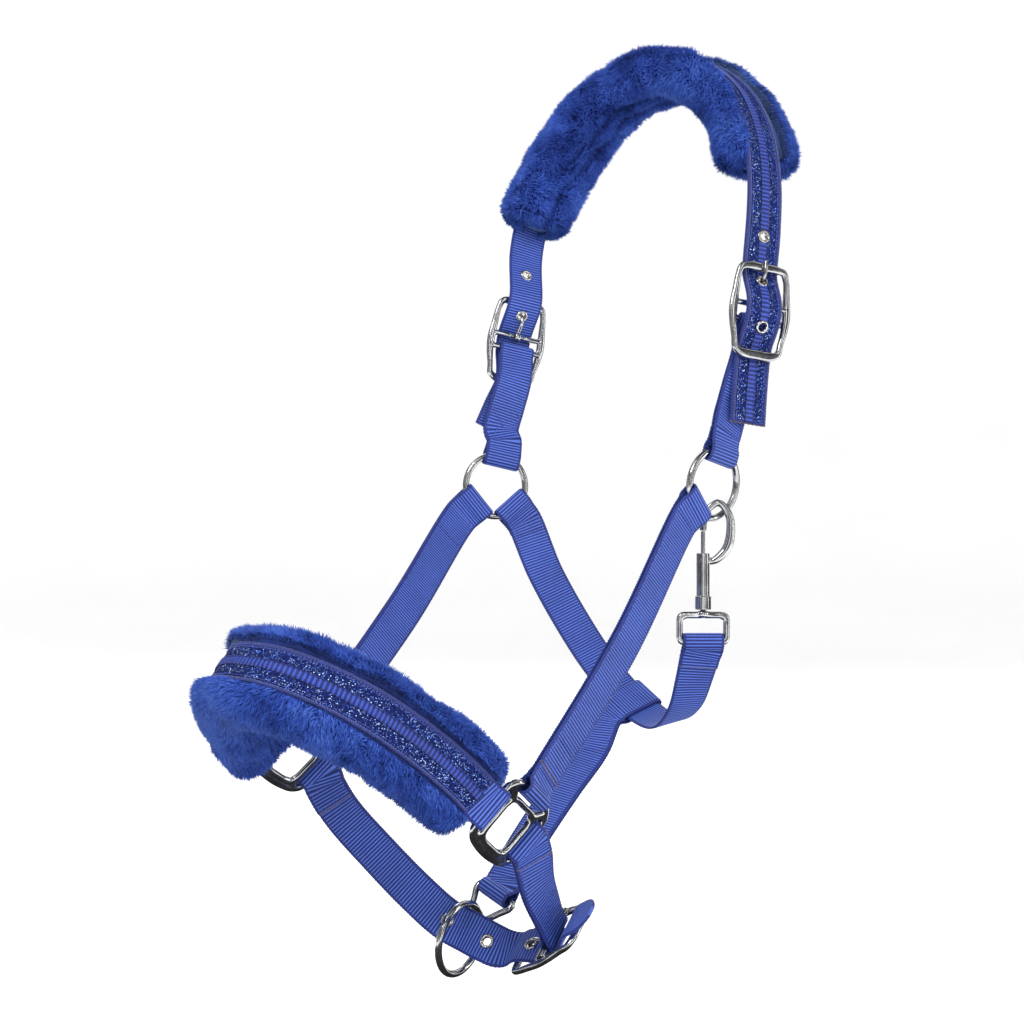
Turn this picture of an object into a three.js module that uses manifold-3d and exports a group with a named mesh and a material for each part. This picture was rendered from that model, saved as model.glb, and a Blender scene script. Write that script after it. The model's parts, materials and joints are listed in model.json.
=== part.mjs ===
// Head halter for a horse, hung as if on the head: padded crown over the poll, padded noseband,
// cheek, throat and chin straps of 25 mm webbing, and cast hardware. Millimetres, +Z up, the
// muzzle towards -Y and the animal's left towards +X. The origin is the middle of the crown pad's
// underside, where the poll bears.
import * as THREE from "three";
import { mergeVertices } from "three/addons/utils/BufferGeometryUtils.js";
import Module from "manifold-3d";

const wasm = await Module();
wasm.setup();

// ---- Driving dimensions ----
const GAP = 0.3; // between neighbours
const STRAP_WIDTH = 25;
const PLY = 1.8; // one layer of webbing
const DOUBLED = 3.9; // two layers sewn together
const TRIM = 0.35; // thickness of the tape and of the centre ribbon
const TRIM_GAP = 0.15;
const TAPE_WIDTH = 19;
const RIBBON_WIDTH = 8.5;
const RING_RADIUS = 21.1; // to the middle of the wire
const WIRE_RADIUS = 2.15;
const RING_SAG = RING_RADIUS - Math.sqrt(RING_RADIUS ** 2 - (STRAP_WIDTH / 2) ** 2);
const PAD = { halfWidth: 25, top: 7, bottom: -35, squareness: 3, points: 15 };
const CHANNEL_GAP = 0.9; // under a strap that lies in a pad's channel
const FLANGE_GAP = 0.8;
const EYELET = { bore: 2.5, barrel: 2.95, flange: 4.3, sheet: 0.45 };
const BUCKLE = {
  thickness: 3.6,
  topBar: 24,
  bottomBar: -31,
  chapeBar: -9.5,
  chapeBarDepth: -2.2,
  barRadius: 1.8,
  chapeBarRadius: 1.9,
  neckRadius: 1.2,
};
const TONGUE_RADIUS = 1.2;
const TONGUE_LOOP = { radius: 2.55, wire: 1 };
const WEAVE = { behind: -4.5, under: -4, over: 4.9, overChape: 4.4 }; // strap's height over a buckle's middle plane
const SQUARE = {
  thickness: 4.6,
  window: 11.4,
  windowDepth: 13,
  windowCorner: 4.5,
  inner: 15,
  slot: 20,
  outer: 24,
  slotHalf: 13.4,
};
const SQUARE_BAR = 22; // from a square's middle to each outer bar
const SNAP = {
  axis: [84.7, -69.5],
  barrelTop: -293.5,
  barrelRadius: 4,
  boreRadius: 2.6,
  boreFloor: -318,
  swivelCeiling: -320,
  swivelFloor: -325,
  barrelBottom: -328,
  hookWire: 2.1,
  travel: 8,
};
const TRIANGLE = { halfBase: 17, height: 26, cornerRadius: 5, wire: 2 };

const BLUE = { color: 0x1f43b4, roughness: 0.85, metalness: 0 };
const FUR = { color: 0x2a50cc, roughness: 0.95, metalness: 0 };
const GLITTER = { color: 0x16236b, roughness: 0.5, metalness: 0.1 };
const RIBBON_BLUE = { color: 0x3f63d0, roughness: 0.7, metalness: 0 };
const CHROME = { color: 0xc9ccd1, roughness: 0.18, metalness: 1 };
const NICKEL = { color: 0xb8b4ac, roughness: 0.3, metalness: 1 };

const vec = (list) => new THREE.Vector3(...list);
const unit = (list) => vec(list).normalize();

// A frame of reference on the object: a middle and three directions at right angles.
function frameOf(at, up, out) {
  const frame = { at: vec(at), up: unit(up) };
  frame.out = vec(out).addScaledVector(frame.up, -vec(out).dot(frame.up)).normalize();
  frame.side = new THREE.Vector3().crossVectors(frame.up, frame.out);
  return frame;
}

// The point s along `up`, n along `out` and w along `side` from a frame's middle, as a list.
function inFrame(frame, s, n, w = 0) {
  return frame.at
    .clone()
    .addScaledVector(frame.up, s)
    .addScaledVector(frame.out, n)
    .addScaledVector(frame.side, w)
    .toArray();
}

// ---- Where things are ----
const NEAR_BUCKLE = frameOf([107, -40, -140], [0, 0.146, 0.989], [0.898, -0.435, 0.064]);
const FAR_BUCKLE = frameOf([-93, -43, -146], [0.08, 0.16, 0.98], [-0.9, 0.41, -0.07]);
const CHIN_BUCKLE = frameOf([57, -184, -515], [-0.88, 0.14, -0.45], [0.46, 0.59, -0.66]);
const NEAR_RING = { at: [92, -69, -251], axis: unit([0.99, -0.12, -0.11]) };
const FAR_RING = { at: [-91, -67, -250], axis: unit([0.86, -0.52, 0]) };
const LEAD_RING = { at: [-2, -195, -522], axis: unit([0.98, 0.12, -0.13]) };
const NEAR_SQUARE = frameOf([75, -238, -439], [0.36, 0.57, 0.74], [0.924, -0.101, -0.372]);
const FAR_SQUARE = frameOf([-80, -257, -414], [0.51, 0.46, 0.72], [-0.85, 0.24, 0.45]);
const TRIANGLE_RING = frameOf([4, -169, -498], [-0.28, -0.66, -0.69], [-0.1, 0.74, -0.66]);

// The point on a ring's wire that lies towards a direction from the ring's middle.
function onRing(ring, towards) {
  const radial = vec(towards).addScaledVector(ring.axis, -vec(towards).dot(ring.axis)).normalize();
  return vec(ring.at).addScaledVector(radial, RING_RADIUS).toArray();
}

// The direction of a ring's wire at a point on it.
function wireAt(ring, point) {
  const radial = vec(point).sub(vec(ring.at));
  return new THREE.Vector3().crossVectors(ring.axis, radial).normalize().toArray();
}

// ---- Solids ----
function solidOf(geometry) {
  const bare = geometry.index ? geometry.toNonIndexed() : geometry.clone();
  for (const name of Object.keys(bare.attributes)) {
    if (name !== "position") bare.deleteAttribute(name);
  }
  const merged = mergeVertices(bare, 1e-4);
  return new wasm.Manifold(
    new wasm.Mesh({
      numProp: 3,
      vertProperties: new Float32Array(merged.attributes.position.array),
      triVerts: new Uint32Array(merged.index.array),
    }),
  );
}

// Edges shorter than this merge where a cut leaves them.
const SHORTEST_EDGE = 0.03;
function geometryOf(solid) {
  const mesh = solid.asOriginal().simplify(SHORTEST_EDGE).getMesh();
  const geometry = new THREE.BufferGeometry();
  geometry.setAttribute("position", new THREE.BufferAttribute(mesh.vertProperties, 3));
  geometry.setIndex(new THREE.BufferAttribute(mesh.triVerts, 1));
  return geometry;
}

// The union of some closed geometries, without the slivers that nearly flush faces leave.
function joined(geometries) {
  const whole = geometries.map(solidOf).reduce((sum, next) => sum.add(next));
  return whole.decompose().reduce((most, body) => (body.volume() > most.volume() ? body : most));
}

// Turns a geometry drawn in x, y, z so that x lies along `x`, y along `y`, and sets it at a point.
function placed(geometry, at, x, y) {
  const z = new THREE.Vector3().crossVectors(x, y);
  const matrix = new THREE.Matrix4().makeBasis(x, y, z).setPosition(at);
  return geometry.applyMatrix4(matrix);
}

// A strap's route: stations in order, each with its place and the direction across the strap.
// The face of the strap that looks outwards is along x across.
function routeOf(stations) {
  const spine = new THREE.CatmullRomCurve3(stations.map((s) => vec(s.at)), false, "centripetal");
  const across = new THREE.CatmullRomCurve3(stations.map((s) => unit(s.across)), false, "centripetal");
  spine.arcLengthDivisions = 400;
  return { spine, across, length: spine.getLength(), count: stations.length };
}

function frameAt(route, u) {
  const t = route.spine.getUtoTmapping(Math.min(Math.max(u, 0), 1));
  const along = route.spine.getTangent(t);
  const across = route.across.getPoint(t);
  across.addScaledVector(along, -across.dot(along)).normalize();
  const face = new THREE.Vector3().crossVectors(along, across);
  return { at: route.spine.getPoint(t), along, across, face };
}

// How far along a route its station number k lies, from 0 to 1.
function stationAt(route, k) {
  const lengths = route.spine.getLengths(400);
  return lengths[Math.round((400 * k) / (route.count - 1))] / route.length;
}

// Bends a geometry drawn across x, outwards y and along z from 0 to 1 onto a stretch of a route.
function bent(geometry, route, from, to) {
  const position = geometry.attributes.position;
  const point = new THREE.Vector3();
  for (let i = 0; i < position.count; i += 1) {
    point.fromBufferAttribute(position, i);
    const frame = frameAt(route, from + point.z * (to - from));
    frame.at.addScaledVector(frame.across, point.x).addScaledVector(frame.face, point.y);
    position.setXYZ(i, frame.at.x, frame.at.y, frame.at.z);
  }
  return geometry;
}

// A flat ribbon on a stretch of a route. Trim that lies on a strap takes the strap's own stretch
// and bends at the same places; `skip` leaves that many of its steps bare at each end. A strap
// with trim, and the trim itself, is split into lanes so that thin layers twist alike.
const RIBBON_STEP = 8;
const TRIM_LANES = 4;
function ribbon(route, options) {
  const { from = 0, to = 1, width = STRAP_WIDTH, thickness = PLY, rise = 0, skip = 0, lanes = 1 } = options;
  const steps = Math.round((route.length * (to - from)) / RIBBON_STEP);
  const bare = (skip * (to - from)) / steps;
  const box = new THREE.BoxGeometry(width, thickness, 1, lanes, 1, steps - 2 * skip);
  return bent(box.translate(0, rise, 0.5), route, from + bare, to - bare);
}

// The folded end of a strap round a bar or a ring's wire: a loop drawn in x and y, with the strap
// leaving towards -x, and as wide as the strap. `sag` lengthens the loop for a curved wire.
const EYE_TAPER = 8;
const EYE_INSET = 0.15; // how far its faces lie inside the strap's where the two join
function foldedEye({ at, outward, across, bore, thickness, sag = 0, ply = PLY }) {
  const outer = bore + ply;
  const half = thickness / 2 - EYE_INSET;
  const shape = new THREE.Shape();
  shape.moveTo(-EYE_TAPER - 2.2, -half);
  shape.lineTo(-EYE_TAPER, -half);
  shape.lineTo(0, -outer);
  shape.lineTo(sag, -outer);
  shape.absarc(sag, 0, outer, -Math.PI / 2, Math.PI / 2, false);
  shape.lineTo(0, outer);
  shape.lineTo(-EYE_TAPER, half);
  shape.lineTo(-EYE_TAPER - 2.2, half);
  const hole = new THREE.Path();
  hole.absarc(0, 0, bore, Math.PI / 2, (Math.PI * 3) / 2, false);
  hole.absarc(sag, 0, bore, -Math.PI / 2, Math.PI / 2, false);
  shape.holes.push(hole);
  const loop = new THREE.ExtrudeGeometry(shape, {
    depth: STRAP_WIDTH - 2 * EYE_INSET,
    bevelEnabled: false,
    curveSegments: 3,
  }).translate(0, 0, EYE_INSET - STRAP_WIDTH / 2);
  const z = unit(across);
  const x = vec(outward).addScaledVector(z, -vec(outward).dot(z)).normalize();
  return placed(loop, vec(at), x, new THREE.Vector3().crossVectors(z, x));
}

// A strap with a folded eye at its start, at its end or at both.
function eyedStrap(stations, { start, end, thickness = DOUBLED, lanes = 1 }) {
  const route = routeOf(stations);
  const pieces = [];
  const clear = EYE_TAPER / route.length;
  pieces.push(ribbon(route, { from: start ? clear : 0, to: end ? 1 - clear : 1, thickness, lanes }));
  if (start) {
    const frame = frameAt(route, clear);
    const outward = vec(stations[0].at).sub(frame.at).toArray();
    const across = stations[0].across;
    pieces.push(foldedEye({ at: stations[0].at, outward, across, thickness, ...start }));
  }
  if (end) {
    const last = stations[stations.length - 1];
    const outward = vec(last.at).sub(frameAt(route, 1 - clear).at).toArray();
    const across = last.across;
    pieces.push(foldedEye({ at: last.at, outward, across, thickness, ...end }));
  }
  return joined(pieces);
}

const RING_EYE = { bore: WIRE_RADIUS + 0.7, sag: RING_SAG };
const SQUARE_EYE = { bore: 3.8, ply: 1.3 };
const FLAT_BAR_EYE = { bore: 4, ply: 1.5 };
const CHAPE_EYE = { bore: BUCKLE.chapeBarRadius + 0.35, ply: 1.6 };

// ---- Routes ----
const NEAR_ACROSS = NEAR_BUCKLE.side.toArray();
const FAR_ACROSS = FAR_BUCKLE.side.clone().negate().toArray();
const weave = (buckle, s, n, across) => ({ at: inFrame(buckle, s, n), across });

// The strap's way through a buckle, from above: behind the top bar, over the tongue and chape
// bars and behind the bottom bar.
function throughBuckle(buckle, across) {
  return [
    weave(buckle, 28, WEAVE.behind, across),
    weave(buckle, 20, WEAVE.under, across),
    weave(buckle, 1, WEAVE.over, across),
    weave(buckle, -10, WEAVE.overChape, across),
    weave(buckle, -27, WEAVE.under, across),
    weave(buckle, -35, WEAVE.behind, across),
  ];
}

// The end of a strap on a ring: the fold round the wire, and the strap just clear of the wire.
function ringEnd(ring, towards, hand) {
  const fold = onRing(ring, towards);
  const across = wireAt(ring, fold).map((v) => v * hand);
  const radial = vec(fold).sub(vec(ring.at)).normalize();
  const clear = vec(fold).addScaledVector(radial, EYE_TAPER + 1).toArray();
  return [{ at: fold, across }, { at: clear, across }];
}

// Far tail, far buckle, over the poll, near buckle, near tail.
const CROWN = routeOf([
  { at: inFrame(FAR_BUCKLE, -68, WEAVE.behind + 0.4, 9), across: FAR_ACROSS },
  { at: inFrame(FAR_BUCKLE, -52, WEAVE.behind, 5), across: FAR_ACROSS },
  ...throughBuckle(FAR_BUCKLE, FAR_ACROSS).reverse(),
  { at: [-95, -31, -88], across: FAR_ACROSS },
  { at: [-95, -22, -58], across: [0.4, 0.9, -0.15] },
  { at: [-86, -13, -27], across: [0.35, 0.93, -0.1] },
  { at: [-66, -6, 5], across: [0.2, 0.97, 0] },
  { at: [-36, -1, 30], across: [0.08, 1, 0] },
  { at: [0, 0, 38], across: [0, 1, 0] },
  { at: [36, -1, 30], across: [0.08, 1, 0] },
  { at: [68, -6, 6], across: [0.2, 0.97, 0] },
  { at: [88, -14, -26], across: [0.35, 0.93, -0.1] },
  { at: [98, -22, -58], across: [0.42, 0.9, -0.12] },
  { at: [102, -29, -88], across: NEAR_ACROSS },
  ...throughBuckle(NEAR_BUCKLE, NEAR_ACROSS),
  weave(NEAR_BUCKLE, -54, WEAVE.behind, NEAR_ACROSS),
  weave(NEAR_BUCKLE, -74, WEAVE.behind + 0.9, NEAR_ACROSS),
]);
const FAR_TONGUE_STATION = 5;
const NEAR_TONGUE_STATION = 21;
const PAD_STATIONS = { from: 8.6, to: 16.55 };

const NOSE_NEAR_BAR = inFrame(NEAR_SQUARE, 0, 0, -SQUARE_BAR);
const NOSE_FAR_BAR = inFrame(FAR_SQUARE, 0, 0, SQUARE_BAR);
const NEAR_SQUARE_DOWN = NEAR_SQUARE.up.clone().negate().toArray();
const FAR_SQUARE_DOWN = FAR_SQUARE.up.clone().negate().toArray();
const NOSE_STATIONS = [
  { at: NOSE_NEAR_BAR, across: NEAR_SQUARE_DOWN },
  { at: [74, -270, -412], across: [-0.3, -0.62, -0.73] },
  { at: [69, -287, -397], across: [-0.22, -0.6, -0.77] },
  { at: [62, -309, -380], across: [-0.12, -0.58, -0.8] },
  { at: [54, -330, -366], across: [-0.02, -0.56, -0.83] },
  { at: [42, -348, -355], across: [0.04, -0.58, -0.81] },
  { at: [24, -359, -348], across: [0.02, -0.62, -0.78] },
  { at: [3, -362, -346], across: [-0.02, -0.64, -0.77] },
  { at: [-20, -357, -348], across: [-0.06, -0.63, -0.77] },
  { at: [-42, -343, -356], across: [-0.12, -0.6, -0.79] },
  { at: [-64, -317, -373], across: [-0.24, -0.56, -0.79] },
  { at: [-77, -292, -391], across: [-0.38, -0.5, -0.76] },
  { at: NOSE_FAR_BAR, across: FAR_SQUARE_DOWN },
];
const NOSE = routeOf(NOSE_STATIONS);

const CHIN_ACROSS = CHIN_BUCKLE.side.toArray();
const CHIN_FAR_BAR = inFrame(FAR_SQUARE, 0, 0, -SQUARE_BAR);
const CHIN_STATIONS = [
  { at: CHIN_FAR_BAR, across: FAR_SQUARE_DOWN },
  { at: [-69, -230, -449], across: [-0.6, -0.45, -0.66] },
  { at: [-50, -216, -475], across: [-0.55, -0.44, -0.71] },
  { at: [-30, -205, -496.5], across: [-0.5, -0.46, -0.73] },
  { at: [-12, -197, -511.5], across: [-0.32, -0.44, -0.84] },
  { at: [3, -192, -518], across: [-0.12, -0.44, -0.89] },
  { at: [13, -189, -521.9], across: [-0.04, -0.54, -0.84] },
  { at: [22, -186, -524.8], across: [0.04, -0.62, -0.78] },
  ...throughBuckle(CHIN_BUCKLE, CHIN_ACROSS),
  weave(CHIN_BUCKLE, -48, WEAVE.behind, CHIN_ACROSS),
];
const CHIN = routeOf(CHIN_STATIONS);
const CHIN_TONGUE_STATION = 10;

// The chape leaves a buckle behind the strap's tail.
function chapeStations(buckle, across, foot) {
  return [
    { at: inFrame(buckle, BUCKLE.chapeBar, BUCKLE.chapeBarDepth), across },
    { at: inFrame(buckle, -19, -6.3), across },
    { at: inFrame(buckle, -31, -8.7), across },
    ...foot,
  ];
}

const NEAR_CHAPE = chapeStations(NEAR_BUCKLE, NEAR_ACROSS, [
  { at: inFrame(NEAR_BUCKLE, -52, -9.2, -5), across: [0.33, 0.9, -0.26] },
  { at: inFrame(NEAR_BUCKLE, -68, -9.8, -9), across: [0.17, 0.95, -0.25] },
  ...ringEnd(NEAR_RING, [0.09, 0.22, 0.97], -1).reverse(),
]);
const FAR_CHAPE = chapeStations(FAR_BUCKLE, FAR_ACROSS, [
  { at: inFrame(FAR_BUCKLE, -52, -8.9, 2.4), across: [0.5, 0.84, -0.15] },
  { at: inFrame(FAR_BUCKLE, -67, -8.8, 3.5), across: [0.52, 0.84, -0.15] },
  ...ringEnd(FAR_RING, [0.02, 0.24, 0.97], -1).reverse(),
]);
// The chin buckle lies square to its chape, which goes straight up to the near square.
const CHIN_CHAPE = [
  { at: inFrame(CHIN_BUCKLE, BUCKLE.chapeBar, BUCKLE.chapeBarDepth), across: CHIN_ACROSS },
  { at: [65.9, -193.3, -497.7], across: [0.12, -0.84, -0.53] },
  { at: [68, -205, -479], across: [-0.12, -0.8, -0.6] },
  { at: inFrame(NEAR_SQUARE, -2.5, 1.2, SQUARE_BAR + 10), across: NEAR_SQUARE_DOWN },
  { at: inFrame(NEAR_SQUARE, 0, 0, SQUARE_BAR), across: NEAR_SQUARE_DOWN },
];

const NEAR_CHEEK = [
  ...ringEnd(NEAR_RING, [-0.01, -0.74, -0.67], 1),
  { at: [88, -152, -345], across: [-0.03, 0.74, -0.67] },
  { at: inFrame(NEAR_SQUARE, SQUARE_BAR, 0), across: NEAR_SQUARE.side.toArray() },
];
const FAR_CHEEK = [
  ...ringEnd(FAR_RING, [-0.42, -0.65, -0.64], 1),
  { at: [-83, -163, -331], across: [0.27, 0.63, -0.72] },
  { at: inFrame(FAR_SQUARE, SQUARE_BAR, 0), across: FAR_SQUARE.side.clone().negate().toArray() },
];

const SNAP_SIDE = unit([0.743, 0.669, 0]);
const SNAP_EYE = { halfWidth: 16.3, topBar: -331.5, bottomBar: -348, wire: 2 };
const THROAT = [
  ...ringEnd(FAR_RING, [0.34, 0.56, -0.76], 1),
  { at: [-64, -45, -311], across: [0.41, 0.81, 0.42] },
  { at: [-32, -37, -361], across: [0.39, 0.82, 0.41] },
  { at: [-7, -37, -385], across: [0.36, 0.85, 0.38] },
  { at: [19, -42, -399], across: [0.37, 0.86, 0.36] },
  { at: [44, -51, -403], across: [0.34, 0.92, 0.2] },
  { at: [63, -59, -391], across: [0.4, 0.9, 0.05] },
  { at: [75, -65, -371], across: [0.55, 0.83, 0] },
  { at: [SNAP.axis[0], SNAP.axis[1], SNAP_EYE.bottomBar], across: [0.743, 0.669, 0] },
];

const THROAT_LOOP = { bore: 2.4, sag: 23, station: 4.5 };
const throatRoute = routeOf(THROAT);
const throatInLoop = frameAt(throatRoute, stationAt(throatRoute, THROAT_LOOP.station));
// The point beside the throat strap's middle, `distance` towards its front edge.
function besideThroat(distance) {
  return throatInLoop.at.clone().addScaledVector(throatInLoop.across, -distance).toArray();
}
const CONNECT = [
  { at: besideThroat(THROAT_LOOP.sag / 2), across: throatInLoop.along.toArray() },
  { at: besideThroat(THROAT_LOOP.sag / 2 + 9), across: throatInLoop.along.toArray() },
  { at: [1, -76, -421], across: [0.93, 0, -0.3] },
  { at: [1, -104, -443], across: [0.96, 0.05, -0.25] },
  { at: [2, -136, -469], across: [0.97, 0.02, -0.22] },
  { at: TRIANGLE_RING.at.toArray(), across: TRIANGLE_RING.side.toArray() },
];

// ---- Sub-parts ----
const parts = new THREE.Group();

function add(name, shape, finish) {
  const geometry = shape.isBufferGeometry ? shape : geometryOf(shape);
  geometry.computeVertexNormals();
  const mesh = new THREE.Mesh(geometry, new THREE.MeshStandardMaterial(finish));
  mesh.name = name;
  parts.add(mesh);
}

// An eyelet's place on a route, `distance` from a station measured along the strap.
function eyeletFrame(route, station, distance) {
  return frameAt(route, stationAt(route, station) + distance / route.length);
}

function eyeletHole(frame) {
  const pin = new THREE.CylinderGeometry(EYELET.barrel + GAP, EYELET.barrel + GAP, 12, 10);
  return solidOf(placed(pin, frame.at, frame.along, frame.face));
}

// A rolled eyelet through a stack of layers from `low` to `high` along the strap's face.
function eyelet(frame, low, high) {
  const { bore, barrel, flange, sheet } = EYELET;
  const bottom = low - FLANGE_GAP - sheet;
  const top = high + FLANGE_GAP + sheet;
  const profile = [
    [bore, bottom],
    [flange, bottom],
    [flange, bottom + sheet],
    [barrel, bottom + sheet],
    [barrel, top - sheet],
    [flange, top - sheet],
    [flange, top],
    [bore, top],
    [bore, bottom],
  ].map(([r, y]) => new THREE.Vector2(r, y));
  return placed(new THREE.LatheGeometry(profile, 10), frame.at, frame.along, frame.face);
}

const TAPE_RISE = PLY / 2 + TRIM_GAP + TRIM / 2;
const RIBBON_RISE = TAPE_RISE + TRIM + TRIM_GAP;
const STACK_TOP = RIBBON_RISE + TRIM / 2;

const EYELET_DISTANCES = [-46, -15.5, 15]; // from the tongue bar, the middle one takes the tongue
const crownEyelets = [
  ...EYELET_DISTANCES.map((d, i) => ({
    name: `crown_eyelet_near_${i + 1}`,
    frame: eyeletFrame(CROWN, NEAR_TONGUE_STATION, d),
  })),
  ...EYELET_DISTANCES.map((d, i) => ({
    name: `crown_eyelet_far_${i + 1}`,
    frame: eyeletFrame(CROWN, FAR_TONGUE_STATION, -d),
  })),
];
const chinEyelets = [-75, -47, -15].map((d, i) => ({
  name: `chin_eyelet_${i + 1}`,
  frame: eyeletFrame(CHIN, CHIN_TONGUE_STATION, d),
}));

function punched(geometry, eyelets) {
  return eyelets.reduce((solid, e) => solid.subtract(eyeletHole(e.frame)), solidOf(geometry));
}

function addCrown() {
  const trim = { thickness: TRIM, lanes: TRIM_LANES };
  const tape = ribbon(CROWN, { ...trim, width: TAPE_WIDTH, rise: TAPE_RISE });
  const centre = ribbon(CROWN, { ...trim, width: RIBBON_WIDTH, rise: RIBBON_RISE });
  add("crown_strap", punched(ribbon(CROWN, { lanes: TRIM_LANES }), crownEyelets), BLUE);
  add("crown_glitter_tape", punched(tape, crownEyelets), GLITTER);
  for (const e of crownEyelets) add(e.name, eyelet(e.frame, -PLY / 2, STACK_TOP), NICKEL);
  add("crown_centre_ribbon", punched(centre, crownEyelets), RIBBON_BLUE);
}

// The section of a fur pad across a strap: a full round body with an open channel for the strap.
function padSection() {
  const { halfWidth, top, bottom, squareness, points } = PAD;
  const middle = (top + bottom) / 2;
  const height = (top - bottom) / 2;
  const channel = STRAP_WIDTH / 2 + 0.5;
  const rim = (1 - (channel / halfWidth) ** squareness) ** (1 / squareness);
  const start = Math.atan2(rim ** (squareness / 2), (channel / halfWidth) ** (squareness / 2));
  const shape = new THREE.Shape();
  shape.moveTo(channel, -PLY / 2 - CHANNEL_GAP);
  for (let i = 0; i <= points; i += 1) {
    const angle = start - (i / points) * (Math.PI + 2 * start);
    const c = Math.cos(angle);
    const s = Math.sin(angle);
    const w = Math.sign(c) * Math.abs(c) ** (2 / squareness) * halfWidth;
    const f = Math.sign(s) * Math.abs(s) ** (2 / squareness) * height;
    shape.lineTo(w, middle + f);
  }
  shape.lineTo(-channel, -PLY / 2 - CHANNEL_GAP);
  return shape;
}

function pad(route, from, to, steps) {
  const body = new THREE.ExtrudeGeometry(padSection(), { depth: 1, steps, bevelEnabled: false });
  return bent(body, route, from, to);
}

function addPads() {
  const ends = [PAD_STATIONS.from, PAD_STATIONS.to].map((k) => stationAt(CROWN, k));
  add("crown_pad", pad(CROWN, ...ends, 18), FUR);
  add("nose_pad", pad(NOSE, 13 / NOSE.length, 1 - 15 / NOSE.length, 20), FUR);
}

function addNose() {
  const eyes = { start: SQUARE_EYE, end: SQUARE_EYE };
  add("nose_strap", eyedStrap(NOSE_STATIONS, { ...eyes, thickness: PLY, lanes: TRIM_LANES }), BLUE);
  const from = EYE_TAPER / NOSE.length;
  const trim = { from, to: 1 - from, skip: 1, thickness: TRIM, lanes: TRIM_LANES };
  const tape = ribbon(NOSE, { ...trim, width: TAPE_WIDTH, rise: TAPE_RISE });
  const centre = ribbon(NOSE, { ...trim, width: RIBBON_WIDTH, rise: RIBBON_RISE });
  add("nose_glitter_tape", tape, GLITTER);
  add("nose_centre_ribbon", centre, RIBBON_BLUE);
}

function addStraps() {
  add("near_chape", eyedStrap(NEAR_CHAPE, { start: CHAPE_EYE, end: RING_EYE }), BLUE);
  add("far_chape", eyedStrap(FAR_CHAPE, { start: CHAPE_EYE, end: RING_EYE }), BLUE);
  add("chin_chape", eyedStrap(CHIN_CHAPE, { start: CHAPE_EYE, end: SQUARE_EYE }), BLUE);
  add("near_cheek_strap", eyedStrap(NEAR_CHEEK, { start: RING_EYE, end: SQUARE_EYE }), BLUE);
  add("far_cheek_strap", eyedStrap(FAR_CHEEK, { start: RING_EYE, end: SQUARE_EYE }), BLUE);
  const throatEnds = { start: RING_EYE, end: FLAT_BAR_EYE, thickness: PLY };
  add("throat_strap", eyedStrap(THROAT, throatEnds), BLUE);
  const throatLoop = { bore: THROAT_LOOP.bore, sag: THROAT_LOOP.sag };
  add("connecting_strap", eyedStrap(CONNECT, { start: throatLoop, end: FLAT_BAR_EYE }), BLUE);
  const chin = eyedStrap(CHIN_STATIONS, { start: SQUARE_EYE, thickness: PLY });
  const holes = chinEyelets.map((e) => eyeletHole(e.frame));
  add("chin_strap", holes.reduce((solid, hole) => solid.subtract(hole), chin), BLUE);
  for (const e of chinEyelets) add(e.name, eyelet(e.frame, -PLY / 2, PLY / 2), NICKEL);
}

function addRing(name, ring) {
  const torus = new THREE.TorusGeometry(RING_RADIUS, WIRE_RADIUS, 8, 28);
  const turn = new THREE.Quaternion().setFromUnitVectors(new THREE.Vector3(0, 0, 1), ring.axis);
  add(name, torus.applyQuaternion(turn).translate(...ring.at), CHROME);
}

// A round bar across a frame, `s` along it and `n` outwards.
function crossBar(frame, s, n, radius, length) {
  const bar = new THREE.CylinderGeometry(radius, radius, length, 8);
  return placed(bar, vec(inFrame(frame, s, n)), frame.up, frame.side);
}

// The same outline and holes with the outline counterclockwise, as an extrusion with holes needs.
function counterclockwise(shape, curveSegments) {
  const points = shape.extractPoints(curveSegments);
  for (const ring of [points.shape, ...points.holes]) {
    if (ring[0].distanceTo(ring[ring.length - 1]) < 1e-6) ring.pop();
  }
  if (THREE.ShapeUtils.isClockWise(points.shape)) points.shape.reverse();
  const turned = new THREE.Shape(points.shape);
  turned.holes = points.holes.map((hole) => new THREE.Path(hole));
  return turned;
}

// A flat cast plate drawn with x across a frame and y along it.
function plate(frame, shape, thickness, bevel, curveSegments) {
  const body = new THREE.ExtrudeGeometry(counterclockwise(shape, curveSegments), {
    depth: thickness - 2 * bevel,
    bevelSize: bevel,
    bevelThickness: bevel,
    bevelOffset: -bevel,
    bevelSegments: 1,
  }).translate(0, 0, bevel - thickness / 2);
  return placed(body, frame.at, frame.side, frame.up);
}

// The buckle's outline: waisted at both end bars, widest beside the tongue and chape bars.
function buckleOutline(inset, top, bottom) {
  const shape = inset ? new THREE.Path() : new THREE.Shape();
  const wide = 20.5 - inset;
  const narrow = 18 - inset;
  const corner = 5 - inset / 2;
  shape.moveTo(-narrow + corner, top);
  shape.lineTo(narrow - corner, top);
  shape.quadraticCurveTo(narrow, top, narrow, top - corner);
  shape.bezierCurveTo(narrow, 8, wide, 6, wide, -5);
  shape.bezierCurveTo(wide, -14, narrow - 1, -18, narrow - 1, bottom + corner);
  shape.quadraticCurveTo(narrow - 1, bottom, narrow - 1 - corner, bottom);
  shape.lineTo(-narrow + 1 + corner, bottom);
  shape.quadraticCurveTo(-narrow + 1, bottom, -narrow + 1, bottom + corner);
  shape.bezierCurveTo(-narrow + 1, -18, -wide, -14, -wide, -5);
  shape.bezierCurveTo(-wide, 6, -narrow, 8, -narrow, top - corner);
  shape.quadraticCurveTo(-narrow, top, -narrow + corner, top);
  return shape;
}

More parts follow.
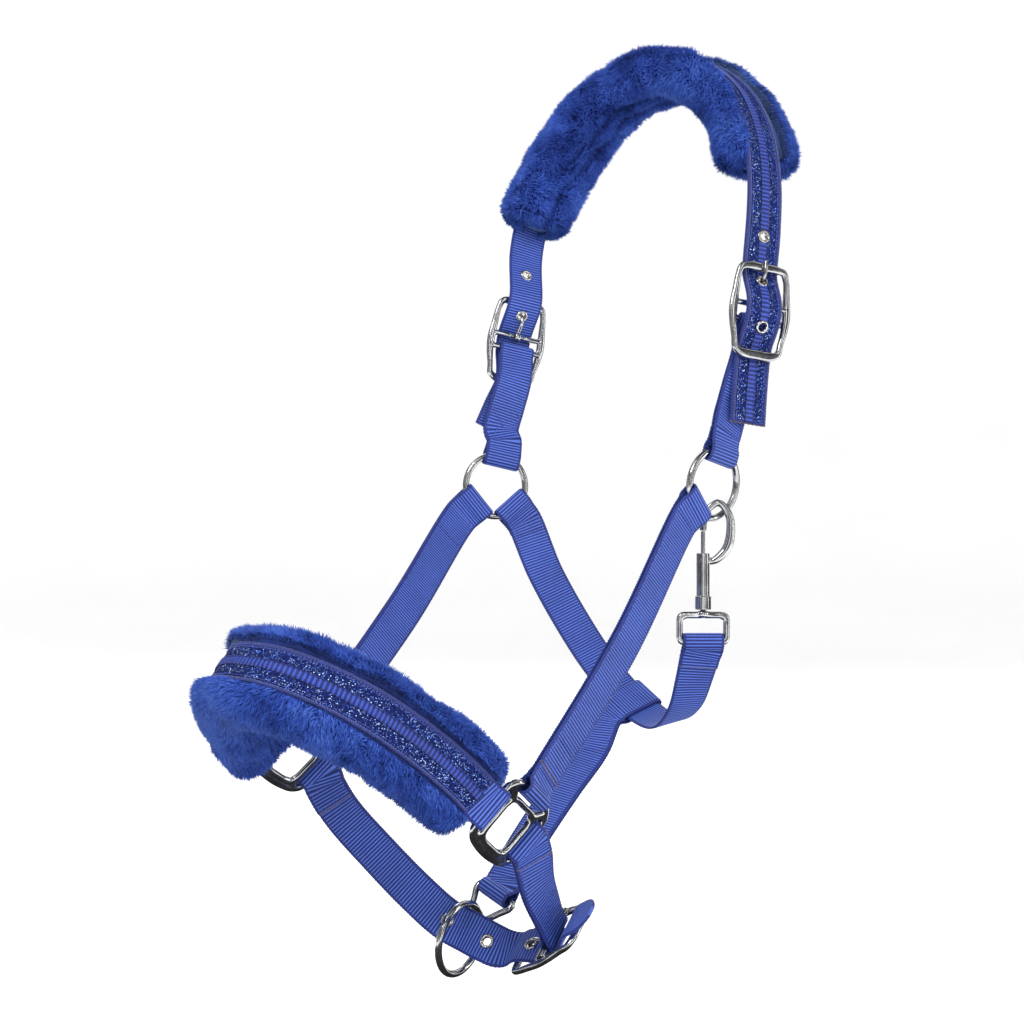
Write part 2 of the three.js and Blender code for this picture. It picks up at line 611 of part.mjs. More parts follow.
function buckleFrame(frame) {
  const halfBar = 2.7;
  const outline = buckleOutline(0, BUCKLE.topBar + halfBar, BUCKLE.bottomBar - halfBar);
  outline.holes.push(buckleOutline(4.2, BUCKLE.topBar - halfBar, BUCKLE.bottomBar + halfBar));
  const body = solidOf(plate(frame, outline, BUCKLE.thickness, 0.9, 3));
  const side = new THREE.CylinderGeometry(BUCKLE.barRadius, BUCKLE.barRadius, 14, 8);
  const bars = [-1, 1].map((hand) =>
    solidOf(placed(side.clone(), vec(inFrame(frame, 0, 0, hand * 11)), frame.up, frame.side)),
  );
  bars.push(solidOf(crossBar(frame, 0, 0, BUCKLE.neckRadius, 12)));
  const depth = BUCKLE.chapeBarDepth;
  bars.push(solidOf(crossBar(frame, BUCKLE.chapeBar, depth, BUCKLE.chapeBarRadius, 37)));
  return bars.reduce((whole, bar) => whole.add(bar), body);
}

function rod(points, radius, steps, sides = 8) {
  const section = new THREE.Shape().absarc(0, 0, radius, 0, Math.PI * 2, false);
  const extrudePath = new THREE.CatmullRomCurve3(points, false, "centripetal");
  return new THREE.ExtrudeGeometry(section, {
    extrudePath,
    steps,
    curveSegments: sides / 2,
    bevelEnabled: false,
  });
}

// The tongue: a loop on the tongue bar's neck, a shank behind the strap, up through the eyelet and
// over the top bar.
function tongue(frame, eyeletAt) {
  const offset = eyeletAt.clone().sub(frame.at);
  const s = offset.dot(frame.up);
  const n = offset.dot(frame.out);
  const rest = BUCKLE.thickness / 2 + TONGUE_RADIUS + 0.15;
  const path = [
    [2.2, -0.6],
    [s - 5, n - 3.2],
    [s - 1.4, n - 2.3],
    [s + 0.2, n + 0.2],
    [s + 2.2, n + 3.2],
    [BUCKLE.topBar - 2.5, rest],
    [BUCKLE.topBar + 4.5, rest - 0.3],
  ].map(([along, out]) => vec(inFrame(frame, along, out)));
  const loop = new THREE.TorusGeometry(TONGUE_LOOP.radius, TONGUE_LOOP.wire, 6, 14);
  return joined([rod(path, TONGUE_RADIUS, 22), placed(loop, frame.at, frame.up, frame.out)]);
}

function addBuckle(name, frame, eyeletAt) {
  add(`${name}_buckle_frame`, buckleFrame(frame), CHROME);
  add(`${name}_buckle_tongue`, tongue(frame, eyeletAt), CHROME);
}

// A halter square: a window in the middle, a slot beside three of its sides and one thick bar.
function squareShape() {
  const { outer } = SQUARE;
  const shape = new THREE.Shape();
  const round = 9;
  const blunt = -20;
  shape.moveTo(-outer + round, outer);
  shape.quadraticCurveTo(0, outer + 2, outer - round, outer);
  shape.quadraticCurveTo(outer, outer, outer, outer - round);
  shape.quadraticCurveTo(outer + 2, 0, outer, blunt + 6);
  shape.quadraticCurveTo(outer, blunt, outer - 6, blunt);
  shape.quadraticCurveTo(0, blunt - 4, -outer + 6, blunt);
  shape.quadraticCurveTo(-outer, blunt, -outer, blunt + 6);
  shape.quadraticCurveTo(-outer - 2, 0, -outer, outer - round);
  shape.quadraticCurveTo(-outer, outer, -outer + round, outer);
  return shape;
}

// A cutter through a plate, over a rectangle across and along the plate's frame.
function opening(frame, left, right, low, high) {
  const box = new THREE.BoxGeometry(right - left, high - low, 20);
  box.translate((left + right) / 2, (low + high) / 2, 0);
  return solidOf(placed(box, frame.at, frame.side, frame.up));
}

// The window: square with round corners, and deeper towards the thick bar.
function squareWindow(frame) {
  const { window: w, windowDepth, windowCorner } = SQUARE;
  const shape = roundedBox(new THREE.Shape(), w, (w + windowDepth) / 2, windowCorner);
  const cutter = new THREE.ExtrudeGeometry(shape, { depth: 20, curveSegments: 4, bevelEnabled: false });
  cutter.translate(0, (w - windowDepth) / 2, -10);
  return solidOf(placed(cutter, frame.at, frame.side, frame.up));
}

function addSquare(name, frame) {
  const { thickness, inner, slot, slotHalf } = SQUARE;
  const openings = [
    squareWindow(frame),
    opening(frame, -slotHalf, slotHalf, inner, slot),
    opening(frame, inner, slot, -slotHalf, slotHalf),
    opening(frame, -slot, -inner, -slotHalf, slotHalf),
  ];
  const body = solidOf(plate(frame, squareShape(), thickness, 0.9, 4));
  add(name, openings.reduce((solid, cut) => solid.subtract(cut), body), CHROME);
}

function addTriangleRing() {
  const { halfBase, height, cornerRadius, wire } = TRIANGLE;
  const outer = triangleOutline(new THREE.Shape(), halfBase + wire, -wire, height + wire, cornerRadius);
  const inner = triangleOutline(new THREE.Shape(), halfBase - wire, wire, height - wire, 2.4);
  const eye = new THREE.ExtrudeGeometry(inner, { depth: 20, curveSegments: 5, bevelEnabled: false });
  const cut = placed(eye.translate(0, 0, -10), TRIANGLE_RING.at, TRIANGLE_RING.side, TRIANGLE_RING.up);
  const body = solidOf(plate(TRIANGLE_RING, outer, 2 * wire, 0.9, 5));
  add("triangle_ring", body.subtract(solidOf(cut)), CHROME);
}

// A triangle with round corners: its flat side at y = `low`, its point at y = `high`.
function triangleOutline(shape, halfBase, low, high, corner) {
  const base = new THREE.Vector2(halfBase, low);
  const tip = new THREE.Vector2(0, high + corner);
  const slope = tip.clone().sub(base).normalize().multiplyScalar(corner);
  const blunt = tip.clone().sub(slope.clone().multiplyScalar(1.6));
  shape.moveTo(-halfBase + corner, low);
  shape.lineTo(halfBase - corner, low);
  shape.quadraticCurveTo(halfBase, low, base.x + slope.x, base.y + slope.y);
  shape.lineTo(blunt.x, blunt.y);
  shape.quadraticCurveTo(0, high + corner / 2, -blunt.x, blunt.y);
  shape.lineTo(-base.x - slope.x, base.y + slope.y);
  shape.quadraticCurveTo(-halfBase, low, -halfBase + corner, low);
  return shape;
}

// ---- Snap hook ----
// A point `e` sideways towards the hook's bow, at height z, `d` in front of the snap's plane.
function onSnap(e, z, d = 0) {
  const front = new THREE.Vector3(SNAP_SIDE.y, -SNAP_SIDE.x, 0);
  return new THREE.Vector3(SNAP.axis[0], SNAP.axis[1], z)
    .addScaledVector(SNAP_SIDE, e)
    .addScaledVector(front, d);
}

function upright(radius, low, high, sides = 14) {
  const body = new THREE.CylinderGeometry(radius, radius, high - low, sides);
  return body.rotateX(Math.PI / 2).translate(SNAP.axis[0], SNAP.axis[1], (low + high) / 2);
}

const KNOB_REST = -303;
const SLOT_WIDTH = 2.4;

function snapHook() {
  const bow = [
    onSnap(2.6, -299),
    onSnap(8.5, -296.8),
    onSnap(14.8, -291),
    onSnap(17.3, -281.5),
    onSnap(16, -269.6),
    onSnap(9.6, -262.2),
    onSnap(2.6, -266.8),
    onSnap(0.4, -274.5),
    onSnap(0, -279.5),
  ];
  const body = joined([
    upright(SNAP.barrelRadius, SNAP.swivelCeiling - 1, SNAP.barrelTop),
    upright(SNAP.barrelRadius + 0.9, SNAP.barrelBottom, SNAP.swivelCeiling),
    rod(bow, SNAP.hookWire, 26, 8),
  ]);
  const slot = new THREE.BoxGeometry(SLOT_WIDTH, 8, SNAP.travel + 3);
  const behind = onSnap(0, KNOB_REST - SNAP.travel / 2, -4);
  const front = new THREE.Vector3(SNAP_SIDE.y, -SNAP_SIDE.x, 0);
  const cuts = [
    upright(SNAP.boreRadius, SNAP.boreFloor, SNAP.barrelTop - 1.5),
    upright(1.65, SNAP.barrelTop - 3, SNAP.barrelTop + 1),
    upright(3.2, SNAP.swivelFloor, SNAP.swivelCeiling),
    upright(1.9, SNAP.barrelBottom - 1, SNAP.swivelFloor + 1),
    placed(slot, behind, SNAP_SIDE, front.negate()),
  ];
  return cuts.reduce((solid, cut) => solid.subtract(solidOf(cut)), body);
}

// The bolt: a thin rod that closes the hook, a piston in the barrel and the thumb knob on it.
function snapBolt() {
  const neck = new THREE.CylinderGeometry(0.8, 0.8, 5, 8);
  const knob = new THREE.CylinderGeometry(2.1, 1.8, 2.2, 10);
  const back = new THREE.Vector3(-SNAP_SIDE.y, SNAP_SIDE.x, 0);
  return joined([
    upright(1.3, KNOB_REST, -279.9, 10),
    upright(SNAP.boreRadius - GAP, KNOB_REST - 3, KNOB_REST + 3, 12),
    placed(neck, onSnap(0, KNOB_REST, -3.2), SNAP_SIDE, back),
    placed(knob, onSnap(0, KNOB_REST, -6.2), SNAP_SIDE, back),
  ]);
}

// The spring under the bolt.
function snapSpring() {
  const turns = 6;
  const perTurn = 8;
  const pitch = 1.75;
  const low = SNAP.boreFloor + 0.6;
  const points = [];
  for (let i = 0; i <= turns * perTurn; i += 1) {
    const angle = (i / perTurn) * Math.PI * 2;
    const height = low + (i / perTurn) * pitch;
    points.push(onSnap(1.8 * Math.cos(angle), height, 1.8 * Math.sin(angle)));
  }
  return rod(points, 0.28, Math.round(turns * perTurn), 6);
}

// The strap eye that swivels under the barrel.
function snapEye() {
  const middle = (SNAP_EYE.topBar + SNAP_EYE.bottomBar) / 2;
  const frame = { at: onSnap(0, middle), up: new THREE.Vector3(0, 0, 1), side: SNAP_SIDE };
  const high = (SNAP_EYE.topBar - SNAP_EYE.bottomBar) / 2;
  const shape = roundedBox(new THREE.Shape(), SNAP_EYE.halfWidth, high + SNAP_EYE.wire, 5);
  const holeHalf = SNAP_EYE.halfWidth - 2 * SNAP_EYE.wire + 0.2;
  shape.holes.push(roundedBox(new THREE.Path(), holeHalf, high - SNAP_EYE.wire, 2));
  const loop = plate(frame, shape, 2 * SNAP_EYE.wire, 0.9, 4);
  return joined([
    loop,
    upright(1.5, SNAP_EYE.topBar, SNAP.swivelFloor + 1.5, 10),
    upright(2.8, SNAP.swivelFloor + GAP, SNAP.swivelFloor + 3.2, 12),
  ]);
}

function roundedBox(shape, x, y, corner) {
  shape.moveTo(-x + corner, -y);
  shape.lineTo(x - corner, -y);
  shape.quadraticCurveTo(x, -y, x, -y + corner);
  shape.lineTo(x, y - corner);
  shape.quadraticCurveTo(x, y, x - corner, y);
  shape.lineTo(-x + corner, y);
  shape.quadraticCurveTo(-x, y, -x, y - corner);
  shape.lineTo(-x, -y + corner);
  shape.quadraticCurveTo(-x, -y, -x + corner, -y);
  return shape;
}

addCrown();
addPads();
addNose();
addStraps();
addRing("near_ring", NEAR_RING);
addRing("far_ring", FAR_RING);
addRing("lead_ring", LEAD_RING);
addTriangleRing();
addBuckle("near", NEAR_BUCKLE, crownEyelets[1].frame.at);
addBuckle("far", FAR_BUCKLE, crownEyelets[4].frame.at);
addBuckle("chin", CHIN_BUCKLE, chinEyelets[2].frame.at);
addSquare("near_square", NEAR_SQUARE);
addSquare("far_square", FAR_SQUARE);
add("snap_hook", snapHook(), CHROME);
add("snap_bolt", snapBolt(), CHROME);
add("snap_spring", snapSpring(), CHROME);
add("snap_eye", snapEye(), CHROME);

export default parts;
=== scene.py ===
"""The looks of a padded head halter: ribbed webbing, fur pads, glitter tape, eyelets and castings.

Lengths are in millimetres in the frame of the CAD model and become metres where a mesh is made.
"""
import json
import math
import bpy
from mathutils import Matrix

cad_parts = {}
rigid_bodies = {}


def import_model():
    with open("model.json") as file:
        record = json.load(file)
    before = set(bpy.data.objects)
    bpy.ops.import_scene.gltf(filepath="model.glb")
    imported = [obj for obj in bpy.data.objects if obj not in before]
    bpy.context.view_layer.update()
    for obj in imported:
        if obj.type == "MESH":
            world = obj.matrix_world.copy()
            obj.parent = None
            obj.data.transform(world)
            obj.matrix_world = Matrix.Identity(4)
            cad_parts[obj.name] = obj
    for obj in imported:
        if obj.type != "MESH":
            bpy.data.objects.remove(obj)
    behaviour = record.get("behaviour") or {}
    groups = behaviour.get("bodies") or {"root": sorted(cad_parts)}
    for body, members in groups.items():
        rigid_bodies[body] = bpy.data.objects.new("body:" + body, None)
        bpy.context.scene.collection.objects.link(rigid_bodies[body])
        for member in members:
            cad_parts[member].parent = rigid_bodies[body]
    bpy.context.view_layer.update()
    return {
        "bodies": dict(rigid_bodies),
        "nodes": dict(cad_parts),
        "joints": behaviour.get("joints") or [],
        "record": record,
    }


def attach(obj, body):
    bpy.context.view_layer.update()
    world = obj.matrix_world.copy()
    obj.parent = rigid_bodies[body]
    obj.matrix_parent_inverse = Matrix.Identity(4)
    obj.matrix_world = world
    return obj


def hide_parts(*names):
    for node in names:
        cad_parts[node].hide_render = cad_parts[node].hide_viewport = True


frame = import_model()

from types import SimpleNamespace

import bmesh
import bpy
import numpy as np

MM = 0.001
HEADSTALL = "headstall"
NODES = frame["nodes"]

# ---- Driving dimensions ----
STRAP_WIDTH = 25.0
PLY = 1.5
DOUBLED = 3.6  # two plies, faces out
RIB_PITCH = 1.9
RIB_HEIGHT = 0.34
ROWS_PER_RIB = 4
YARN_PITCH = 0.62
SELVEDGE = 10.9  # from a strap's middle to where its knitted edge begins
EYE_TAPER = 8.0
RING_RADIUS = 21.1
WIRE_RADIUS = 2.15
RING_SAG = RING_RADIUS - math.sqrt(RING_RADIUS**2 - (STRAP_WIDTH / 2) ** 2)
TAPE_WIDTH = 19.0
RIBBON_WIDTH = 4.6
TAPE_RISE = 1.12
RIBBON_RISE = 1.62
RIBBON_PITCH = 2.7
EDGE_CORD = 10.9  # from a strap's middle to the chain edging beside the tape
WEAVE = SimpleNamespace(behind=-4.5, under=-4, over=4.9, over_chape=4.4)
BUCKLE = SimpleNamespace(chape_bar=-9.5, chape_depth=-2.2)
SQUARE_BAR = 22.0
SNAP_AXIS = (84.7, -69.5)
SNAP_BAR = -348.0
SNAP_EYE_MIDDLE = -339.75
EYELET = SimpleNamespace(bore=2.5, barrel=2.95, flange=4.3)
EYELET_DISTANCES = (-46, -15.5, 15)
CHIN_EYELET_DISTANCES = (-75, -47, -15)
FAR_TONGUE_STATION, NEAR_TONGUE_STATION, CHIN_TONGUE_STATION = 5, 21, 10
PAD = SimpleNamespace(squareness=2.7, channel=12.9)
PILE = 5.2
TUFTS = 20000  # on each of a pad's four strips

rng = np.random.default_rng(7)


# ---- Places ----
def unit(v):
    v = np.asarray(v, float)
    return v / np.linalg.norm(v)


def units(rows):
    return rows / np.linalg.norm(rows, axis=1, keepdims=True).clip(1e-9)


def frame_of(at, up, out):
    up = unit(up)
    out = np.asarray(out, float)
    out = unit(out - up * out.dot(up))
    return SimpleNamespace(at=np.asarray(at, float), up=up, out=out, side=np.cross(up, out))


def in_frame(f, s, n, w=0.0):
    return f.at + s * f.up + n * f.out + w * f.side


NEAR_BUCKLE = frame_of([107, -40, -140], [0, 0.146, 0.989], [0.898, -0.435, 0.064])
FAR_BUCKLE = frame_of([-93, -43, -146], [0.08, 0.16, 0.98], [-0.9, 0.41, -0.07])
CHIN_BUCKLE = frame_of([57, -184, -515], [-0.88, 0.14, -0.45], [0.46, 0.59, -0.66])
NEAR_RING = SimpleNamespace(at=np.array([92.0, -69, -251]), axis=unit([0.99, -0.12, -0.11]))
FAR_RING = SimpleNamespace(at=np.array([-91.0, -67, -250]), axis=unit([0.86, -0.52, 0]))
LEAD_RING = SimpleNamespace(at=np.array([-2.0, -195, -522]), axis=unit([0.98, 0.12, -0.13]))
NEAR_SQUARE = frame_of([75, -238, -439], [0.36, 0.57, 0.74], [0.924, -0.101, -0.372])
FAR_SQUARE = frame_of([-80, -257, -414], [0.51, 0.46, 0.72], [-0.85, 0.24, 0.45])
TRIANGLE_RING = frame_of([4, -169, -498], [-0.28, -0.66, -0.69], [-0.1, 0.74, -0.66])


def on_ring(ring, towards):
    towards = np.asarray(towards, float)
    return ring.at + RING_RADIUS * unit(towards - ring.axis * towards.dot(ring.axis))


def ring_end(ring, towards, hand):
    """The stations where a strap folds round a ring's wire and where it is just clear of it."""
    fold = on_ring(ring, towards)
    radial = unit(fold - ring.at)
    across = unit(np.cross(ring.axis, radial)) * hand
    return [(fold, across), (fold + radial * (EYE_TAPER + 1), across)]


def through_buckle(buckle, across):
    heights = (
        (28, WEAVE.behind), (20, WEAVE.under), (1, WEAVE.over),
        (-10, WEAVE.over_chape), (-27, WEAVE.under), (-35, WEAVE.behind),
    )
    return [(in_frame(buckle, s, n), across) for s, n in heights]


# ---- Routes ----
def spline(points, samples):
    """A centripetal Catmull-Rom curve through some points, at evenly spaced parameters."""
    p = np.asarray(points, float)
    ext = np.vstack([2 * p[0] - p[1], p, 2 * p[-1] - p[-2]])
    t = np.linspace(0, len(p) - 1, samples)
    i = np.minimum(t.astype(int), len(p) - 2)
    w = (t - i)[:, None]
    q = [ext[i + k] for k in range(4)]
    d0, d1, d2 = (np.sum((q[k + 1] - q[k]) ** 2, axis=1, keepdims=True) ** 0.25 for k in range(3))
    d1 = np.where(d1 < 1e-4, 1.0, d1)
    d0 = np.where(d0 < 1e-4, d1, d0)
    d2 = np.where(d2 < 1e-4, d1, d2)
    t1 = ((q[1] - q[0]) / d0 - (q[2] - q[0]) / (d0 + d1) + (q[2] - q[1]) / d1) * d1
    t2 = ((q[2] - q[1]) / d1 - (q[3] - q[1]) / (d1 + d2) + (q[3] - q[2]) / d2) * d1
    c2 = -3 * q[1] + 3 * q[2] - 2 * t1 - t2
    c3 = 2 * q[1] - 2 * q[2] + t1 + t2
    return q[1] + t1 * w + c2 * w**2 + c3 * w**3


def lengths_of(p):
    return np.concatenate([[0], np.cumsum(np.linalg.norm(np.diff(p, axis=0), axis=1))])


def at_lengths(s, known, rows):
    return np.stack([np.interp(s, known, rows[:, k]) for k in range(3)], axis=1)


class Route:
    """A strap's middle line, with the direction across it and the side that its face looks to."""

    def __init__(self, stations):
        per = 60
        samples = (len(stations) - 1) * per + 1
        self.points = spline([s[0] for s in stations], samples)
        self.across = spline([unit(s[1]) for s in stations], samples)
        self.s = lengths_of(self.points)
        self.length = self.s[-1]
        self.station = self.s[::per]
        self.along = units(np.gradient(self.points, self.s, axis=0))

    def frames(self, s):
        s = np.atleast_1d(np.asarray(s, float))
        along = units(at_lengths(s, self.s, self.along))
        across = at_lengths(s, self.s, self.across)
        across = units(across - along * np.sum(across * along, axis=1, keepdims=True))
        return SimpleNamespace(
            at=at_lengths(s, self.s, self.points), along=along, across=across,
            face=np.cross(along, across),
        )

    def on(self, s, w=0.0, f=0.0):
        """Points at lengths s, w across the strap and f out of its face."""
        fr = self.frames(s)
        w = np.broadcast_to(np.asarray(w, float), fr.at.shape[:1])[:, None]
        f = np.broadcast_to(np.asarray(f, float), fr.at.shape[:1])[:, None]
        return fr.at + fr.across * w + fr.face * f


NEAR_ACROSS = NEAR_BUCKLE.side
FAR_ACROSS = -FAR_BUCKLE.side
CHIN_ACROSS = CHIN_BUCKLE.side

CROWN = Route([
    (in_frame(FAR_BUCKLE, -68, WEAVE.behind + 0.4, 9), FAR_ACROSS),
    (in_frame(FAR_BUCKLE, -52, WEAVE.behind, 5), FAR_ACROSS),
    *through_buckle(FAR_BUCKLE, FAR_ACROSS)[::-1],
    ([-95, -31, -88], FAR_ACROSS),
    ([-95, -22, -58], [0.4, 0.9, -0.15]),
    ([-86, -13, -27], [0.35, 0.93, -0.1]),
    ([-66, -6, 5], [0.2, 0.97, 0]),
    ([-36, -1, 30], [0.08, 1, 0]),
    ([0, 0, 38], [0, 1, 0]),
    ([36, -1, 30], [0.08, 1, 0]),
    ([68, -6, 6], [0.2, 0.97, 0]),
    ([88, -14, -26], [0.35, 0.93, -0.1]),
    ([98, -22, -58], [0.42, 0.9, -0.12]),
    ([102, -29, -88], NEAR_ACROSS),
    *through_buckle(NEAR_BUCKLE, NEAR_ACROSS),
    (in_frame(NEAR_BUCKLE, -54, WEAVE.behind), NEAR_ACROSS),
    (in_frame(NEAR_BUCKLE, -74, WEAVE.behind + 0.9), NEAR_ACROSS),
])
PAD_STATIONS = (8.6, 16.55)

NOSE = Route([
    (in_frame(NEAR_SQUARE, 0, 0, -SQUARE_BAR), -NEAR_SQUARE.up),
    ([74, -270, -412], [-0.3, -0.62, -0.73]),
    ([69, -287, -397], [-0.22, -0.6, -0.77]),
    ([62, -309, -380], [-0.12, -0.58, -0.8]),
    ([54, -330, -366], [-0.02, -0.56, -0.83]),
    ([42, -348, -355], [0.04, -0.58, -0.81]),
    ([24, -359, -348], [0.02, -0.62, -0.78]),
    ([3, -362, -346], [-0.02, -0.64, -0.77]),
    ([-20, -357, -348], [-0.06, -0.63, -0.77]),
    ([-42, -343, -356], [-0.12, -0.6, -0.79]),
    ([-64, -317, -373], [-0.24, -0.56, -0.79]),
    ([-77, -292, -391], [-0.38, -0.5, -0.76]),
    (in_frame(FAR_SQUARE, 0, 0, SQUARE_BAR), -FAR_SQUARE.up),
])

CHIN = Route([
    (in_frame(FAR_SQUARE, 0, 0, -SQUARE_BAR), -FAR_SQUARE.up),
    ([-69, -230, -449], [-0.6, -0.45, -0.66]),
    ([-50, -216, -475], [-0.55, -0.44, -0.71]),
    ([-30, -205, -496.5], [-0.5, -0.46, -0.73]),
    ([-12, -197, -511.5], [-0.32, -0.44, -0.84]),
    ([3, -192, -518], [-0.12, -0.44, -0.89]),
    ([13, -189, -521.9], [-0.04, -0.54, -0.84]),
    ([22, -186, -524.8], [0.04, -0.62, -0.78]),
    *through_buckle(CHIN_BUCKLE, CHIN_ACROSS),
    (in_frame(CHIN_BUCKLE, -48, WEAVE.behind), CHIN_ACROSS),
])


def chape(buckle, across, foot):
    """The strap that leaves a buckle's chape bar behind the other strap's tail."""
    return Route([
        (in_frame(buckle, BUCKLE.chape_bar, BUCKLE.chape_depth), across),
        (in_frame(buckle, -19, -6.3), across),
        (in_frame(buckle, -31, -8.7), across),
        *foot,
    ])


NEAR_CHAPE = chape(NEAR_BUCKLE, NEAR_ACROSS, [
    (in_frame(NEAR_BUCKLE, -52, -9.2, -5), [0.33, 0.9, -0.26]),
    (in_frame(NEAR_BUCKLE, -68, -9.8, -9), [0.17, 0.95, -0.25]),
    *ring_end(NEAR_RING, [0.09, 0.22, 0.97], -1)[::-1],
])
FAR_CHAPE = chape(FAR_BUCKLE, FAR_ACROSS, [
    (in_frame(FAR_BUCKLE, -52, -8.9, 2.4), [0.5, 0.84, -0.15]),
    (in_frame(FAR_BUCKLE, -67, -8.8, 3.5), [0.52, 0.84, -0.15]),
    *ring_end(FAR_RING, [0.02, 0.24, 0.97], -1)[::-1],
])
CHIN_CHAPE = Route([
    (in_frame(CHIN_BUCKLE, BUCKLE.chape_bar, BUCKLE.chape_depth), CHIN_ACROSS),
    ([65.9, -193.3, -497.7], [0.12, -0.84, -0.53]),
    ([68, -205, -479], [-0.12, -0.8, -0.6]),
    (in_frame(NEAR_SQUARE, -2.5, 1.2, SQUARE_BAR + 10), -NEAR_SQUARE.up),
    (in_frame(NEAR_SQUARE, 0, 0, SQUARE_BAR), -NEAR_SQUARE.up),
])
NEAR_CHEEK = Route([
    *ring_end(NEAR_RING, [-0.01, -0.74, -0.67], 1),
    ([88, -152, -345], [-0.03, 0.74, -0.67]),
    (in_frame(NEAR_SQUARE, SQUARE_BAR, 0), NEAR_SQUARE.side),
])
FAR_CHEEK = Route([
    *ring_end(FAR_RING, [-0.42, -0.65, -0.64], 1),
    ([-83, -163, -331], [0.27, 0.63, -0.72]),
    (in_frame(FAR_SQUARE, SQUARE_BAR, 0), -FAR_SQUARE.side),
])
SNAP_SIDE = unit([0.743, 0.669, 0])
THROAT = Route([
    *ring_end(FAR_RING, [0.34, 0.56, -0.76], 1),
    ([-64, -45, -311], [0.41, 0.81, 0.42]),
    ([-32, -37, -361], [0.39, 0.82, 0.41]),
    ([-7, -37, -385], [0.36, 0.85, 0.38]),
    ([19, -42, -399], [0.37, 0.86, 0.36]),
    ([44, -51, -403], [0.34, 0.92, 0.2]),
    ([63, -59, -391], [0.4, 0.9, 0.05]),
    ([75, -65, -371], [0.55, 0.83, 0]),
    ([*SNAP_AXIS, SNAP_BAR], SNAP_SIDE),
])
LOOP_SAG = 23.0
LOOP_STATION = (THROAT.station[4] + THROAT.station[5]) / 2
IN_LOOP = THROAT.frames(LOOP_STATION)


def beside_throat(distance):
    return IN_LOOP.at[0] - IN_LOOP.across[0] * distance


CONNECT = Route([
    (beside_throat(LOOP_SAG / 2), IN_LOOP.along[0]),
    (beside_throat(LOOP_SAG / 2 + 9), IN_LOOP.along[0]),
    ([1, -76, -421], [0.93, 0, -0.3]),
    ([1, -104, -443], [0.96, 0.05, -0.25]),
    ([2, -136, -469], [0.97, 0.02, -0.22]),
    (TRIANGLE_RING.at, TRIANGLE_RING.side),
])


# ---- Meshes and pieces ----
def mesh_object(name, verts, faces, material):
    mesh = bpy.data.meshes.new(name)
    mesh.from_pydata((np.asarray(verts) * MM).tolist(), [], faces)
    mesh.materials.append(material)
    mesh.polygons.foreach_set("use_smooth", [True] * len(mesh.polygons))
    obj = bpy.data.objects.new(name, mesh)
    bpy.context.scene.collection.objects.link(obj)
    return obj


def point_attribute(obj, name, rows):
    rows = np.asarray(rows, float)
    kind = "FLOAT" if rows.ndim == 1 else "FLOAT_VECTOR"
    attribute = obj.data.attributes.new(name, kind, "POINT")
    attribute.data.foreach_set("value" if rows.ndim == 1 else "vector", rows.ravel())


def outward(obj):
    bm = bmesh.new()
    bm.from_mesh(obj.data)
    bmesh.ops.recalc_face_normals(bm, faces=bm.faces)
    bm.to_mesh(obj.data)
    bm.free()


def piece(obj, body=HEADSTALL, nodes=()):
    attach(obj, body)
    if nodes:
        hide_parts(*nodes)
    return obj


def grid_faces(rows, columns, closed_rows):
    """Quads between neighbouring points of a grid: each row joins up, and the rows may too."""
    i = np.arange(rows if closed_rows else rows - 1)[:, None]
    j = np.arange(columns)[None, :]
    a = i * columns + j
    b = i * columns + (j + 1) % columns
    c = ((i + 1) % rows) * columns + (j + 1) % columns
    d = ((i + 1) % rows) * columns + j
    return np.stack([a, b, c, d], axis=-1).reshape(-1, 4)


def end_caps(rows, columns):
    """The faces that close the first and the last row of an open grid."""
    last = (rows - 1) * columns
    return [list(range(columns))[::-1], list(range(last, last + columns))]


def punched(verts, faces, holes, radius):
    """The faces that are left when round holes are cut."""
    centres = verts[faces].mean(axis=1)
    keep = np.ones(len(faces), bool)
    for hole in holes:
        keep &= np.linalg.norm(centres - hole, axis=1) > radius
    return faces[keep]


def weave_attribute(obj, s, section):
    """Each point's length along a strap, its place across and the side that it is on."""
    rows = [np.repeat(s, len(section))]
    rows += [np.tile([point[k] for point in section], len(s)) for k in (0, 2)]
    point_attribute(obj, "weave", np.stack(rows, axis=1))


